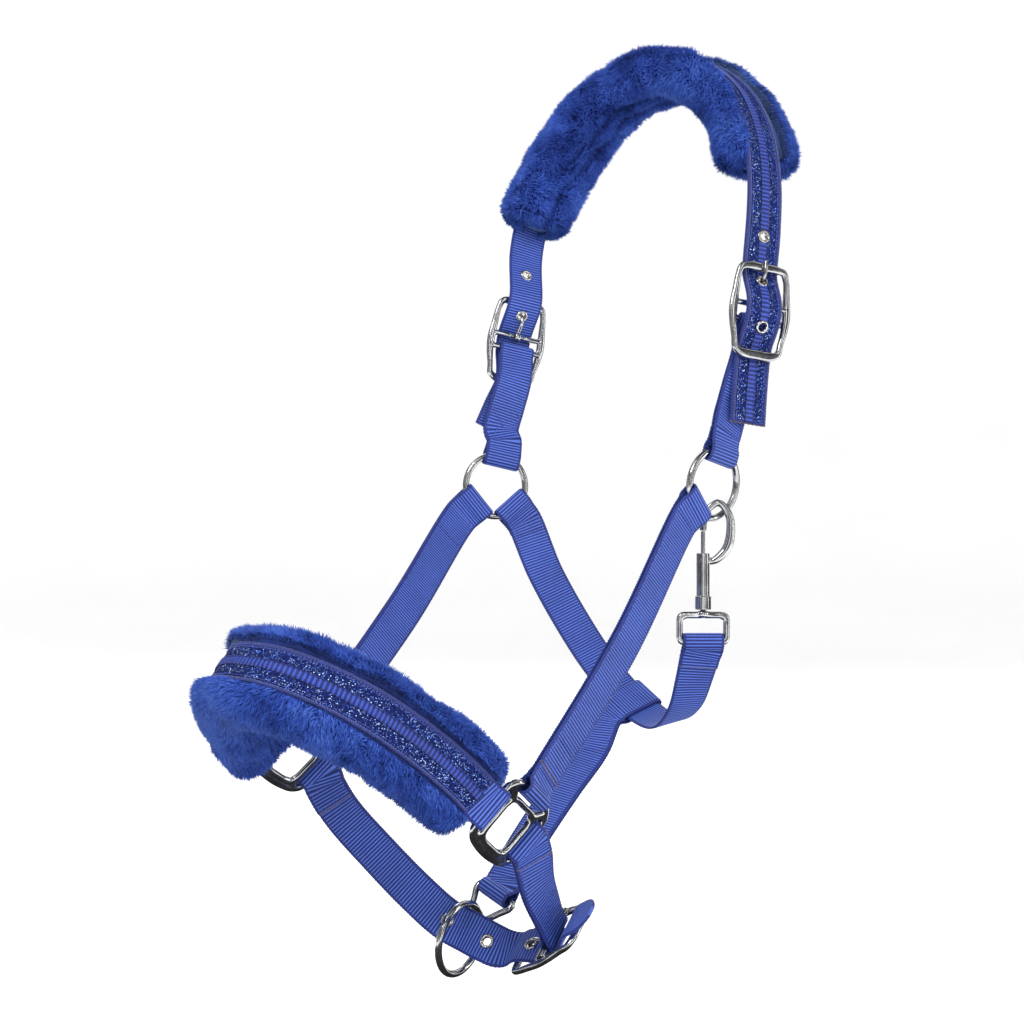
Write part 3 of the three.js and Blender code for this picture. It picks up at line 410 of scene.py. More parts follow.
# ---- Materials ----
class Shader:
    """A material being built, with short ways to add its nodes."""

    def __init__(self, name, **principled):
        self.material = bpy.data.materials.new(name)
        self.material.use_nodes = True
        self.tree = self.material.node_tree
        self.out = self.tree.nodes["Principled BSDF"]
        for key, value in principled.items():
            self.out.inputs[key.replace("_", " ")].default_value = value

    def node(self, kind, values=None, **settings):
        node = self.tree.nodes.new(kind)
        for key, value in settings.items():
            setattr(node, key, value)
        for key, value in (values or {}).items():
            if isinstance(value, bpy.types.NodeSocket):
                self.tree.links.new(value, node.inputs[key])
            else:
                node.inputs[key].default_value = value
        return node

    def math(self, operation, a, b=0.5, c=0.5):
        return self.node("ShaderNodeMath", {0: a, 1: b, 2: c}, operation=operation).outputs[0]

    def vector(self, operation, a, b=(0, 0, 0), **values):
        values = {0: a, 1: b, **values}
        return self.node("ShaderNodeVectorMath", values, operation=operation).outputs[0]

    def noise(self, vector, scale, detail=3.0, roughness=0.55):
        values = {"Vector": vector, "Scale": scale, "Detail": detail, "Roughness": roughness}
        return self.node("ShaderNodeTexNoise", values).outputs["Fac"]

    def ramp(self, factor, *stops):
        node = self.node("ShaderNodeValToRGB", {"Fac": factor})
        elements = node.color_ramp.elements
        while len(elements) < len(stops):
            elements.new(0.5)
        for element, (position, colour) in zip(elements, stops):
            element.position = position
            element.color = (*colour, 1) if len(colour) == 3 else colour
        return node.outputs["Color"]

    def mix(self, factor, a, b, blend="MIX"):
        node = self.tree.nodes.new("ShaderNodeMix")
        node.data_type, node.blend_type = "RGBA", blend
        for socket, value in ((node.inputs[0], factor), (node.inputs[6], a), (node.inputs[7], b)):
            if isinstance(value, bpy.types.NodeSocket):
                self.tree.links.new(value, socket)
            else:
                socket.default_value = value if isinstance(value, float) else (*value, 1)
        return node.outputs[2]

    def bump(self, height, distance, strength=1.0):
        values = {"Height": height, "Distance": distance, "Strength": strength}
        return self.node("ShaderNodeBump", values).outputs["Normal"]

    def attribute(self, name, output="Vector"):
        return self.node("ShaderNodeAttribute", attribute_name=name).outputs[output]

    def position(self):
        return self.node("ShaderNodeTexCoord").outputs["Object"]

    def set(self, **links):
        for key, socket in links.items():
            self.tree.links.new(socket, self.out.inputs[key.replace("_", " ")])
        return self.material


def grey(value):
    return (value, value, value)


def webbing_material(name, pitch, shaded_valley, middle, lit_crest):
    """Cross-ribbed nylon: a painted highlight on the crests, painted shade in the valleys, fine yarns over
    them and a knitted edge.
    """
    m = Shader(name, Sheen_Weight=0.08, Sheen_Roughness=0.4, Specular_IOR_Level=0.3)
    weave = m.node("ShaderNodeSeparateXYZ", {0: m.attribute("weave")})
    along, across = weave.outputs["X"], weave.outputs["Y"]
    rib = m.math("COSINE", m.math("MULTIPLY", along, 2 * math.pi / pitch))
    bent = m.math("MULTIPLY", rib, 1.4)
    yarn = m.math("SINE", m.math("MULTIPLY_ADD", across, 2 * math.pi / YARN_PITCH, bent))
    speckle = m.noise(m.attribute("weave"), 2.2, 2.0)
    # Painted light: the rib cosine paints a highlight on each crest and shade in each valley.
    tone = m.math("MULTIPLY_ADD", rib, 0.34, 0.5)
    tone = m.math("MULTIPLY_ADD", yarn, 0.11, tone)
    tone = m.math("ADD", tone, m.math("MULTIPLY_ADD", speckle, 0.36, -0.18))
    colour = m.ramp(tone, (0.12, shaded_valley), (0.52, middle), (1.0, lit_crest))
    edge = m.math("GREATER_THAN", m.math("ABSOLUTE", across), SELVEDGE)
    knit_u = m.math("SINE", m.math("MULTIPLY", along, 2 * math.pi / 1.5))
    knit_v = m.math("SINE", m.math("MULTIPLY", across, 2 * math.pi / 0.9))
    knit = m.math("MULTIPLY_ADD", m.math("MULTIPLY", knit_u, knit_v), 0.4, 0.5)
    knit_colour = m.ramp(knit, (0.1, shaded_valley), (0.9, middle))
    colour = m.mix(edge, colour, knit_colour)
    patches = m.noise(m.position(), 38.0, 2.0)
    shade = m.ramp(patches, (0.3, grey(0.86)), (0.7, grey(1.06)))
    colour = m.mix(1.0, colour, shade, "MULTIPLY")
    rough = m.math("MULTIPLY_ADD", speckle, 0.25, 0.42)
    height = m.math("MULTIPLY_ADD", yarn, 0.35, m.math("MULTIPLY_ADD", knit, edge, speckle))
    return m.set(Base_Color=colour, Roughness=rough, Normal=m.bump(height, 0.00012, 0.7))


def fur_material():
    """Plush pile: painted shade at the root and in the creases, lighter towards the tip, shaded as one
    soft skin.
    """
    m = Shader("fur", Roughness=0.8, Sheen_Weight=0.35, Sheen_Roughness=0.4, Specular_IOR_Level=0.2)
    m.out.inputs["Sheen Tint"].default_value = (0.3, 0.5, 1.0, 1)
    tip = m.attribute("tip", "Fac")
    shade = m.attribute("shade", "Fac")
    broad = m.noise(m.position(), 30.0, 3.0, 0.6)
    clumps = m.noise(m.position(), 150.0, 2.0)
    # The tip attribute paints shade towards each tuft's root; the shade attribute is each tuft's random
    # tone less painted shade in the sewn creases.
    tone = m.math("MULTIPLY_ADD", tip, 0.42, m.math("MULTIPLY", shade, 0.34))
    tone = m.math("ADD", tone, m.math("MULTIPLY_ADD", broad, 0.9, -0.45))
    tone = m.math("ADD", tone, m.math("MULTIPLY_ADD", clumps, 0.45, -0.225))
    colour = m.ramp(
        tone, (0.0, (0.003, 0.010, 0.075)), (0.3, (0.011, 0.033, 0.22)),
        (0.6, (0.028, 0.077, 0.40)), (1.0, (0.10, 0.20, 0.64)),
    )
    guide = m.attribute("guide")
    to_world = dict(vector_type="NORMAL", convert_from="OBJECT", convert_to="WORLD")
    guide = m.node("ShaderNodeVectorTransform", {0: guide}, **to_world).outputs[0]
    guide = m.vector("SCALE", guide, Scale=1.25)
    own = m.node("ShaderNodeNewGeometry").outputs["Normal"]
    return m.set(Base_Color=colour, Normal=m.vector("NORMALIZE", m.vector("ADD", own, guide)))


def glitter_material():
    """A dark woven band with metal flecks, each tilted its own way."""
    m = Shader("glitter_tape", Specular_IOR_Level=0.12)
    weave = m.attribute("weave")
    cells = m.node("ShaderNodeTexVoronoi", {"Vector": weave, "Scale": 2.2, "Randomness": 1.0})
    random = m.node("ShaderNodeSeparateColor", {0: cells.outputs["Color"]})
    bright = m.math("GREATER_THAN", random.outputs["Red"], 0.86)
    mid = m.math("GREATER_THAN", random.outputs["Red"], 0.45)
    thread = m.noise(weave, 3.0, 2.0)
    base = m.ramp(thread, (0.3, (0.001, 0.003, 0.03)), (0.75, (0.003, 0.010, 0.09)))
    base = m.mix(m.math("MULTIPLY", mid, 0.5), base, (0.004, 0.014, 0.13))
    fleck = m.ramp(
        random.outputs["Green"],
        (0.0, (0.02, 0.06, 0.4)), (0.55, (0.12, 0.26, 0.85)), (0.92, (0.7, 0.85, 1.0)),
    )
    colour = m.mix(bright, base, fleck)
    tilt = m.vector("SCALE", m.vector("SUBTRACT", cells.outputs["Color"], (0.5, 0.5, 0.5)), Scale=1.1)
    normal = m.node("ShaderNodeNewGeometry").outputs["Normal"]
    tilted = m.vector("NORMALIZE", m.vector("ADD", normal, tilt))
    metallic = m.math("MULTIPLY", bright, 0.75)
    rough = m.math("MULTIPLY_ADD", bright, -0.4, 0.62)
    return m.set(Base_Color=colour, Metallic=metallic, Roughness=rough, Normal=tilted)


def metal_material(name, colour, rough, ripple=0.5):
    """A plated casting: soft ripples, faint tarnish in patches and fine pits."""
    m = Shader(name, Metallic=1.0)
    place = m.position()
    patches = m.noise(place, 60.0, 4.0)
    pits = m.noise(place, 900.0, 3.0)
    dark = tuple(c * 0.62 for c in colour)
    tint = m.ramp(patches, (0.32, dark), (0.62, colour))
    in_pit = m.ramp(pits, (0.30, grey(0.7)), (0.36, grey(0.0)))
    tint = m.mix(in_pit, tint, tuple(c * 0.45 for c in colour))
    roughness = m.math("MULTIPLY_ADD", patches, rough, rough * 0.45)
    height = m.math("MULTIPLY_ADD", m.noise(place, 220.0, 2.0), ripple, m.math("MULTIPLY", pits, 0.12))
    return m.set(Base_Color=tint, Roughness=roughness, Normal=m.bump(height, 0.0004, 0.35))


def thread_material(name, dark, light):
    """Twisted sewing thread or singed nylon."""
    m = Shader(name, Sheen_Weight=0.2)
    place = m.position()
    twist = m.noise(place, 1500.0, 2.0)
    colour = m.ramp(twist, (0.35, dark), (0.65, light))
    rough = m.math("MULTIPLY_ADD", twist, 0.2, 0.5)
    return m.set(Base_Color=colour, Roughness=rough, Normal=m.bump(twist, 0.0002, 0.6))


# Webbing colours: painted shade for the rib valleys, the plain colour, and a painted highlight for the rib
# crests.
SHADED_VALLEY, MIDDLE, LIT_CREST = (0.002, 0.006, 0.065), (0.013, 0.034, 0.24), (0.10, 0.19, 0.64)
WEBBING = webbing_material("webbing", RIB_PITCH, SHADED_VALLEY, MIDDLE, LIT_CREST)
# The centre ribbon gets the same painted shade and painted highlight on its ribs.
RIBBON = webbing_material(
    "centre_ribbon", RIBBON_PITCH, SHADED_VALLEY, (0.008, 0.024, 0.20), (0.04, 0.085, 0.44),
)
CHAIN = thread_material("edge_chain", (0.003, 0.008, 0.085), (0.018, 0.04, 0.27))
GLITTER = glitter_material()
FUR = fur_material()
CHROME = metal_material("chrome", (0.60, 0.605, 0.615), 0.15)
NICKEL = metal_material("nickel", (0.72, 0.70, 0.66), 0.2, 0.2)
STEEL = metal_material("spring_wire", (0.4, 0.4, 0.41), 0.3)
THREAD = thread_material("thread", (0.008, 0.016, 0.16), (0.03, 0.065, 0.40))
SINGED = thread_material("singed_nylon", (0.035, 0.018, 0.03), (0.13, 0.07, 0.07))


# ---- Webbing ----
HALF_COLUMNS = np.array([2.9, 4.2, 6.2, 8.6, 10.7, 11.5, 12.15])
COLUMNS = np.concatenate([-HALF_COLUMNS[::-1], [0], HALF_COLUMNS])


def blurred(rows, reach):
    """Rows averaged with their neighbours, so that a strap turns gradually into its fold."""
    padded = np.pad(rows, ((reach, reach), (0, 0)), "reflect", reflect_type="odd")
    weights = np.hanning(2 * reach + 3)[1:-1]
    weights /= weights.sum()
    return sum(w * padded[k:k + len(rows)] for k, w in enumerate(weights))


def even(points, across, face, step):
    """The same path with stations `step` apart, a whole number of ribs long."""
    s = lengths_of(points)
    count = max(8, round(s[-1] / (step * ROWS_PER_RIB)) * ROWS_PER_RIB)
    t = np.linspace(0, s[-1], count + 1)
    p, a, f = (at_lengths(t, s, rows) for rows in (points, across, face))
    p, a = blurred(p, 3), blurred(a, 9)
    along = units(np.gradient(p, axis=0))
    a = units(a - along * np.sum(a * along, axis=1, keepdims=True))
    n = np.cross(along, a)
    n *= np.sign(np.sum(n * f, axis=1, keepdims=True))
    return p, a, n, t


def webbing(name, path, holes=(), round_end=False):
    """A ribbed strap along a path of points, directions across and outward faces."""
    p, a, n, t = even(*path, RIB_PITCH / ROWS_PER_RIB)
    ribs = 0.5 + 0.5 * np.cos(2 * math.pi * t / RIB_PITCH)
    knit = 0.5 + 0.5 * np.cos(2 * math.pi * t / RIB_PITCH + math.pi)
    half = PLY / 2
    narrow = np.ones(len(t))
    if round_end:
        narrow = np.sqrt(1 - np.clip((t - t[-1] + 11.5) / 12.0, 0, 0.999) ** 2)
    section = [(w, half, 1) for w in COLUMNS] + [(STRAP_WIDTH / 2, 0, 0)]
    section += [(w, -half, -1) for w in COLUMNS[::-1]] + [(-STRAP_WIDTH / 2, 0, 0)]
    rows = []
    for w, f, side in section:
        selvedge = abs(w) > SELVEDGE
        lift = RIB_HEIGHT * (0.7 * knit if selvedge else ribs) - RIB_HEIGHT / 2
        swell = np.sign(w) * 0.28 * knit if selvedge else 0.0
        drop = 0.3 if abs(w) > 12 else 0.0
        sideways = np.reshape(narrow * (w + swell), (-1, 1))
        rows.append(p + a * sideways + n * np.reshape(f + side * (lift - drop), (-1, 1)))
    verts = np.stack(rows, axis=1).reshape(-1, 3)
    faces = punched(verts, grid_faces(len(t), len(section), False), holes, EYELET.barrel + 0.2)
    obj = mesh_object(name, verts, faces.tolist() + end_caps(len(t), len(section)), WEBBING)
    weave_attribute(obj, t, section)
    outward(obj)
    return piece(obj, nodes=[name])


def stretch(route, s0, s1, offset, face=1.0):
    """Part of one ply: points, across and outward face, from s0 to s1 in either direction."""
    s = np.linspace(s0, s1, max(3, int(abs(s1 - s0) / 1.5)))
    f = route.frames(s)
    return [f.at + f.face * offset, f.across, f.face * face]


def fold(route, at_end, radius, offset_in, offset_out, sag=0.0):
    """A ply's way round the bar at a route's end, from its outer side to its inner side."""
    s = route.length - EYE_TAPER if at_end else EYE_TAPER
    near = route.frames(s)
    bar = route.points[-1] if at_end else route.points[0]
    across = unit(route.across[-1] if at_end else route.across[0])
    x = bar - near.at[0]
    x = unit(x - across * x.dot(across))
    y = near.face[0] - x * near.face[0].dot(x)
    y = unit(y - across * y.dot(across))
    angles = np.linspace(math.pi / 2, -math.pi / 2, 13)
    local = [(-EYE_TAPER * 0.55, offset_in + (radius - offset_in) * 0.35), (-1.0, radius)]
    local += [(sag + radius * math.cos(a), radius * math.sin(a)) for a in angles]
    local += [(-1.0, -radius), (-EYE_TAPER * 0.55, offset_out + (-radius - offset_out) * 0.35)]
    local = np.array(local)
    points = bar + local[:, :1] * x + local[:, 1:] * y
    centre = bar + x * sag / 2
    face = units(points - centre)
    return [points, np.repeat(across[None], len(points), axis=0), face]


def chain(*parts):
    return [np.vstack([part[k] for part in parts]) for k in range(3)]


def backwards(part):
    return [rows[::-1] for rows in part]


RING_FOLD = dict(radius=WIRE_RADIUS + 0.7 + PLY / 2, sag=RING_SAG)
SQUARE_FOLD = dict(radius=4.45)
FLAT_FOLD = dict(radius=4.75)
CHAPE_FOLD = dict(radius=3.05)


def doubled(name, route, start, end, join, outside):
    """A strap of two plies, folded round a bar at each end; its cut ends meet at `join`."""
    h = (DOUBLED - PLY) / 2
    clear = EYE_TAPER + 2.5
    low, high = clear, route.length - clear
    at_end = fold(route, True, offset_in=h, offset_out=-h, **end)
    at_start = fold(route, False, offset_in=h, offset_out=-h, **start)
    if outside:
        path = chain(
            stretch(route, join + 0.5, high, h), at_end, stretch(route, high, low, -h, -1.0),
            backwards(at_start), stretch(route, low, join - 0.3, h),
        )
    else:
        path = chain(
            stretch(route, join + 0.5, high, -h, -1.0), backwards(at_end),
            stretch(route, high, low, h), at_start, stretch(route, low, join - 0.3, -h, -1.0),
        )
    return webbing(name, path)


def single(name, route, start=None, end=None, holes=(), back=12.0, round_end=False):
    """A strap of one ply, folded back round a bar at one end or both."""
    clear = EYE_TAPER + 2.5
    low = clear if start else 0.0
    high = route.length - clear if end else route.length
    under = -(PLY + 0.15)
    parts = []
    if start:
        parts.append(stretch(route, low + back, low, under, -1.0))
        parts.append(backwards(fold(route, False, offset_in=0.0, offset_out=under, **start)))
    parts.append(stretch(route, low, high, 0.0))
    if end:
        parts.append(fold(route, True, offset_in=0.0, offset_out=under, **end))
        parts.append(stretch(route, high, high - back, under, -1.0))
    return webbing(name, chain(*parts), holes, round_end)


def eyelet_places(route, station, distances):
    """Middles and axes of the eyelets beside a tongue bar's station."""
    f = route.frames(route.station[station] + np.asarray(distances, float))
    return list(zip(f.at, f.along, f.face))


NEAR_EYELETS = eyelet_places(CROWN, NEAR_TONGUE_STATION, EYELET_DISTANCES)
FAR_EYELETS = eyelet_places(CROWN, FAR_TONGUE_STATION, [-d for d in EYELET_DISTANCES])
CHIN_EYELETS = eyelet_places(CHIN, CHIN_TONGUE_STATION, CHIN_EYELET_DISTANCES)
CROWN_HOLES = [place[0] for place in NEAR_EYELETS + FAR_EYELETS]


# Name, route, fold at each end, where the cut ends meet, and whether they are on the outer ply.
DOUBLED_STRAPS = (
    ("near_cheek_strap", NEAR_CHEEK, RING_FOLD, SQUARE_FOLD, NEAR_CHEEK.length - 14.5, True),
    ("far_cheek_strap", FAR_CHEEK, RING_FOLD, SQUARE_FOLD, 30.0, False),
    ("near_chape", NEAR_CHAPE, CHAPE_FOLD, RING_FOLD, NEAR_CHAPE.length - 40, False),
    ("far_chape", FAR_CHAPE, CHAPE_FOLD, RING_FOLD, FAR_CHAPE.length - 40, False),
    ("chin_chape", CHIN_CHAPE, CHAPE_FOLD, SQUARE_FOLD, CHIN_CHAPE.length - 14.5, True),
    ("connecting_strap", CONNECT, dict(radius=2.4 + PLY / 2, sag=LOOP_SAG), FLAT_FOLD, 34.0, False),
)


def make_straps():
    webbing("crown_strap", stretch(CROWN, 0, CROWN.length, 0.0), CROWN_HOLES)
    single("nose_strap", NOSE, SQUARE_FOLD, SQUARE_FOLD, back=3.0)
    single("chin_strap", CHIN, SQUARE_FOLD, holes=[place[0] for place in CHIN_EYELETS], round_end=True)
    single("throat_strap", THROAT, RING_FOLD, FLAT_FOLD, back=6.0)
    for strap in DOUBLED_STRAPS:
        doubled(*strap)


# ---- Tape, ribbon and edging ----
TRIM_THICKNESS = 0.42
NOSE_TRIM = (9.0, NOSE.length - 11.0)


def flat_trim(name, route, span, width, rise, material, pitch=0.0, holes=()):
    """A thin band sewn on a strap's face: plain, or ribbed when it has a pitch."""
    s = np.arange(*span, pitch / 6 if pitch else 1.0)
    edge = width / 2
    columns = np.array([-edge, -edge * 0.93, -2.9, -1.0, 1.0, 2.9, edge * 0.93, edge])
    lift = 0.3 * np.sqrt(np.abs(np.sin(math.pi * s / pitch))) if pitch else 0.0 * s
    section = [(w, TRIM_THICKNESS * (1.0 if abs(w) < edge else 0.4), 1.0) for w in columns]
    section += [(w, 0.0, 0.0) for w in columns[::-1]]
    rows = [route.on(s, w, rise + f + top * lift) for w, f, top in section]
    verts = np.stack(rows, axis=1).reshape(-1, 3)
    faces = punched(verts, grid_faces(len(s), len(section), False), holes, EYELET.barrel + 0.4)
    obj = mesh_object(name, verts, faces.tolist() + end_caps(len(s), len(section)), material)
    weave_attribute(obj, s, section)
    outward(obj)
    return piece(obj, nodes=[name])


OFF_AXIS = np.array([0.31, 0.52, 0.79])  # a direction that few rods run in


def tubes(paths, radii, sides):
    """Closed round rods along some paths, as one mesh: points and faces."""
    verts, faces, base = [], [], 0
    angles = np.arange(sides) * 2 * math.pi / sides
    for path, radius in zip(paths, radii):
        path = np.asarray(path, float)
        along = units(np.gradient(path, axis=0))
        guide = OFF_AXIS if abs(along[0].dot(OFF_AXIS)) < 0.9 else np.array([1.0, 0, 0])
        x = units(np.cross(along, guide))
        y = np.cross(along, x)
        r = np.broadcast_to(np.asarray(radius, float), (len(path),))[:, None, None]
        c, d = np.cos(angles)[None, :, None], np.sin(angles)[None, :, None]
        around = path[:, None] + r * (c * x[:, None] + d * y[:, None])
        verts.append(around.reshape(-1, 3))
        faces += (grid_faces(len(path), sides, False) + base).tolist()
        last = base + (len(path) - 1) * sides
        faces += [list(range(base, base + sides))[::-1], list(range(last, last + sides))]
        base += len(path) * sides
    return np.vstack(verts), faces


def edge_chains(name, route, s0, s1):
    """The knotted chain edging that shows beside the tape on both edges of a strap."""
    paths, radii = [], []
    s = np.arange(s0, s1, 0.42)
    for hand in (-1, 1):
        for phase in (0, math.pi):
            turn = 2 * math.pi * s / 2.3 + phase
            w = hand * EDGE_CORD + 0.62 * np.cos(turn)
            f = PLY / 2 + 0.42 + 0.34 * np.sin(turn)
            paths.append(route.on(s, w, f))
            radii.append(0.46 + 0.1 * np.cos(2 * turn))
    verts, faces = tubes(paths, radii, 5)
    obj = mesh_object(name, verts, faces, CHAIN)
    return piece(obj)


def make_trim():
    end = CROWN.length
    for strap, route, tape, edging, holes in (
        ("crown", CROWN, (0.3, end - 0.3), (0.5, end - 0.5), CROWN_HOLES),
        ("nose", NOSE, NOSE_TRIM, NOSE_TRIM, ()),
    ):
        flat_trim(
            f"{strap}_glitter_tape", route, tape, TAPE_WIDTH, TAPE_RISE - 0.25, GLITTER,
            holes=holes,
        )
        flat_trim(
            f"{strap}_centre_ribbon", route, tape, RIBBON_WIDTH, RIBBON_RISE - 0.35,
            RIBBON, RIBBON_PITCH, holes,
        )
        edge_chains(f"{strap}_edge_chain", route, *edging)


# ---- Sewing ----
STITCH = SimpleNamespace(pitch=3.0, length=2.3, radius=0.26)


def seam(route, points, f):
    """Stitches along a line given as (s, w) corners on one face of a strap."""
    paths = []
    for (s0, w0), (s1, w1) in zip(points, points[1:]):
        span = math.hypot(s1 - s0, w1 - w0)
        count = max(1, round(span / STITCH.pitch))
        for k in range(count):
            t = (k + np.linspace(0.12, 0.12 + STITCH.length / STITCH.pitch, 5)) / count
            lift = math.copysign(1, f) * np.array([-0.35, 0.12, 0.2, 0.12, -0.35])
            paths.append(route.on(s0 + (s1 - s0) * t, w0 + (w1 - w0) * t, f + lift))
    return paths


def box_seam(route, s0, s1, f, crossed=False, w=10.0):
    corners = [(s0, -w), (s0, w), (s1, w), (s1, -w), (s0, -w)]
    paths = seam(route, corners, f)
    if crossed:
        paths += seam(route, [(s0, -w), (s1, w)], f) + seam(route, [(s0, w), (s1, -w)], f)
    return paths


def make_sewing():
    outer = DOUBLED / 2 + RIB_HEIGHT / 2
    inner = PLY / 2 + RIB_HEIGHT / 2
    paths = []
    for route in (NEAR_CHAPE, FAR_CHAPE, NEAR_CHEEK, FAR_CHEEK):
        for f in (outer, -outer):
            crossed = route is FAR_CHAPE
            paths += box_seam(route, route.length - 33, route.length - 12, f, crossed)
    for route in (NEAR_CHEEK, FAR_CHEEK):
        for f in (outer, -outer):
            paths += box_seam(route, 12, 34, f)
            for w in (-10.6, 10.6):
                paths += seam(route, [(36, w), (route.length - 35, w)], f)
    for f in (outer, -outer):
        paths += box_seam(CHIN_CHAPE, CHIN_CHAPE.length - 30, CHIN_CHAPE.length - 14, f)
        paths += box_seam(CHIN_CHAPE, 11, 26, f, True)
        paths += box_seam(CONNECT, 14, 40, f)
        paths += box_seam(CONNECT, CONNECT.length - 28, CONNECT.length - 11, f)
    for f in (inner, -inner - PLY):
        paths += box_seam(CHIN, 11.5, 21, f)
        paths += box_seam(THROAT, 11.5, 19.5, f)
        paths += seam(THROAT, [(THROAT.length - 12, -9.5), (THROAT.length - 12, 9.5)], f)
    for route, low, high in ((NOSE, *NOSE_TRIM), (CROWN, 1.0, CROWN.length - 1.0)):
        for w in (-8.9, 8.9):
            paths += seam(route, [(low, w), (high, w)], TAPE_RISE + 0.2)
        paths += seam(route, [(low + 1, -8.5), (low + 1, 8.5)], TAPE_RISE + 0.2)
        paths += seam(route, [(high - 1, -8.5), (high - 1, 8.5)], TAPE_RISE + 0.2)
    verts, faces = tubes(paths, [STITCH.radius] * len(paths), 5)
    piece(mesh_object("stitching", verts, faces, THREAD))


def make_singed_ends():
    """The melted edge where webbing was cut with a hot knife."""
    h = DOUBLED / 2 - 0.45
    places = [(route, join, h if outside else -h) for _, route, _, _, join, outside in DOUBLED_STRAPS]
    places += [
        (THROAT, THROAT.length - EYE_TAPER - 8.6, -PLY - 0.2), (THROAT, EYE_TAPER + 8.6, -PLY - 0.2),
        (CHIN, EYE_TAPER + 14.6, -PLY - 0.2), (CROWN, 0.1, 0.0), (CROWN, CROWN.length - 0.1, 0.0),
    ]
    paths, radii = [], []
    w = np.linspace(-12.2, 12.2, 40)
    for route, s, f in places:
        wobble = 0.22 * np.sin(w * 2.1 + s) + 0.15 * np.sin(w * 5.3)
        paths.append(route.on(s + wobble, w, f + 0.1 * np.sin(w * 3.7)))
        radii.append(0.62 + 0.14 * np.sin(w * 4.1 + s))
    verts, faces = tubes(paths, radii, 8)
    piece(mesh_object("singed_ends", verts, faces, SINGED))


# ---- Eyelets ----
def eyelet(name, place, low, high):
    """A rolled eyelet whose flanges lie below `low` and above `high` on a strap's face."""
    bore, flange = EYELET.bore, EYELET.flange
    at, along, face = place
    other = np.cross(face, along)
    profile = [
        (bore, low - 0.3), (bore + 0.25, low - 0.75), (bore + 0.9, low - 0.95),
        (flange - 0.35, low - 0.7), (flange, low - 0.25), (flange - 0.2, low),
        (bore + 0.45, low + 0.1), (bore + 0.45, high - 0.1), (flange - 0.2, high),
        (flange, high + 0.25), (flange - 0.3, high + 0.75), (bore + 0.9, high + 1.1),
        (bore + 0.25, high + 0.85), (bore, high + 0.3),
    ]
    sides = 36
    turn = np.arange(sides) * 2 * math.pi / sides
    radial = np.cos(turn)[:, None] * along + np.sin(turn)[:, None] * other
    verts = np.vstack([at + face * y + r * radial for r, y in profile])
    obj = mesh_object(name, verts, grid_faces(len(profile), sides, True).tolist(), NICKEL)
    outward(obj)
    piece(obj, nodes=[name])


def make_eyelets():
    for label, places, high in (
        ("crown_eyelet_near", NEAR_EYELETS, TAPE_RISE + 0.35),
        ("crown_eyelet_far", FAR_EYELETS, TAPE_RISE + 0.35),
        ("chin_eyelet", CHIN_EYELETS, PLY / 2 + 0.1),
    ):
        for k, place in enumerate(places):
            eyelet(f"{label}_{k + 1}", place, -PLY / 2 - 0.1, high)


# ---- Castings ----
def closed_curve(rows, per=12):
    rows = np.asarray(rows, float)
    wrapped = np.vstack([rows[-2:], rows, rows[:3]])
    curve = spline(wrapped, (len(wrapped) - 1) * per + 1)
    return curve[2 * per:(2 + len(rows)) * per]


def bar(frame, rows, closed=False, power=2.4, sides=18):
    """A bar along rows of (s, n, w, half its width in the frame's plane, half its thickness)."""
    curve = closed_curve(rows) if closed else spline(rows, (len(rows) - 1) * 12 + 1)
    path = frame.at + curve[:, :1] * frame.up + curve[:, 1:2] * frame.out + curve[:, 2:3] * frame.side
    if closed:
        along = units(np.roll(path, -1, axis=0) - np.roll(path, 1, axis=0))
    else:
        along = units(np.gradient(path, axis=0))
    y = units(frame.out - along * (along @ frame.out)[:, None])
    x = np.cross(along, y)
    turn = np.arange(sides) * 2 * math.pi / sides
    c = np.sign(np.cos(turn)) * np.abs(np.cos(turn)) ** (2 / power)
    d = np.sign(np.sin(turn)) * np.abs(np.sin(turn)) ** (2 / power)
    in_plane = (curve[:, 3:4] * c)[..., None] * x[:, None]
    verts = path[:, None] + in_plane + (curve[:, 4:5] * d)[..., None] * y[:, None]
    faces = grid_faces(len(path), sides, closed).tolist()
    if not closed:
        faces += end_caps(len(path), sides)
    return verts.reshape(-1, 3), faces


def mirrored(rows):
    """A closed outline from its half with w >= 0, whose first and last rows lie on the middle line."""
    return list(rows) + [(s, n, -w, a, b) for s, n, w, a, b in rows[-2:0:-1]]


def casting(node, body, bars, voxel, rounds, keep=False):
    """Bars run together into one smooth casting, with the CAD node's own solid where it is kept."""
    verts, faces = [], []
    if keep:
        source = NODES[node].data
        own = np.empty(len(source.vertices) * 3)
        source.vertices.foreach_get("co", own)
        verts.append(own.reshape(-1, 3) / MM)
        faces += [list(polygon.vertices) for polygon in source.polygons]
    for points, around in bars:
        base = sum(len(part) for part in verts)
        verts.append(points)
        faces += [[base + k for k in face] for face in around]
    obj = mesh_object(f"{node}_casting", np.vstack(verts), faces, CHROME)
    outward(obj)
    remesh = obj.modifiers.new("remesh", "REMESH")
    remesh.mode, remesh.voxel_size = "VOXEL", voxel * MM
    smooth = obj.modifiers.new("smooth", "SMOOTH")
    smooth.factor, smooth.iterations = 0.5, rounds
    grow = obj.modifiers.new("grow", "DISPLACE")
    grow.strength, grow.mid_level = 0.06 * MM, 0.0
    evaluated = obj.evaluated_get(bpy.context.evaluated_depsgraph_get())
    mesh = bpy.data.meshes.new_from_object(evaluated)
    obj.modifiers.clear()
    obj.data = mesh
    mesh.polygons.foreach_set("use_smooth", [True] * len(mesh.polygons))
    return piece(obj, body, [node])


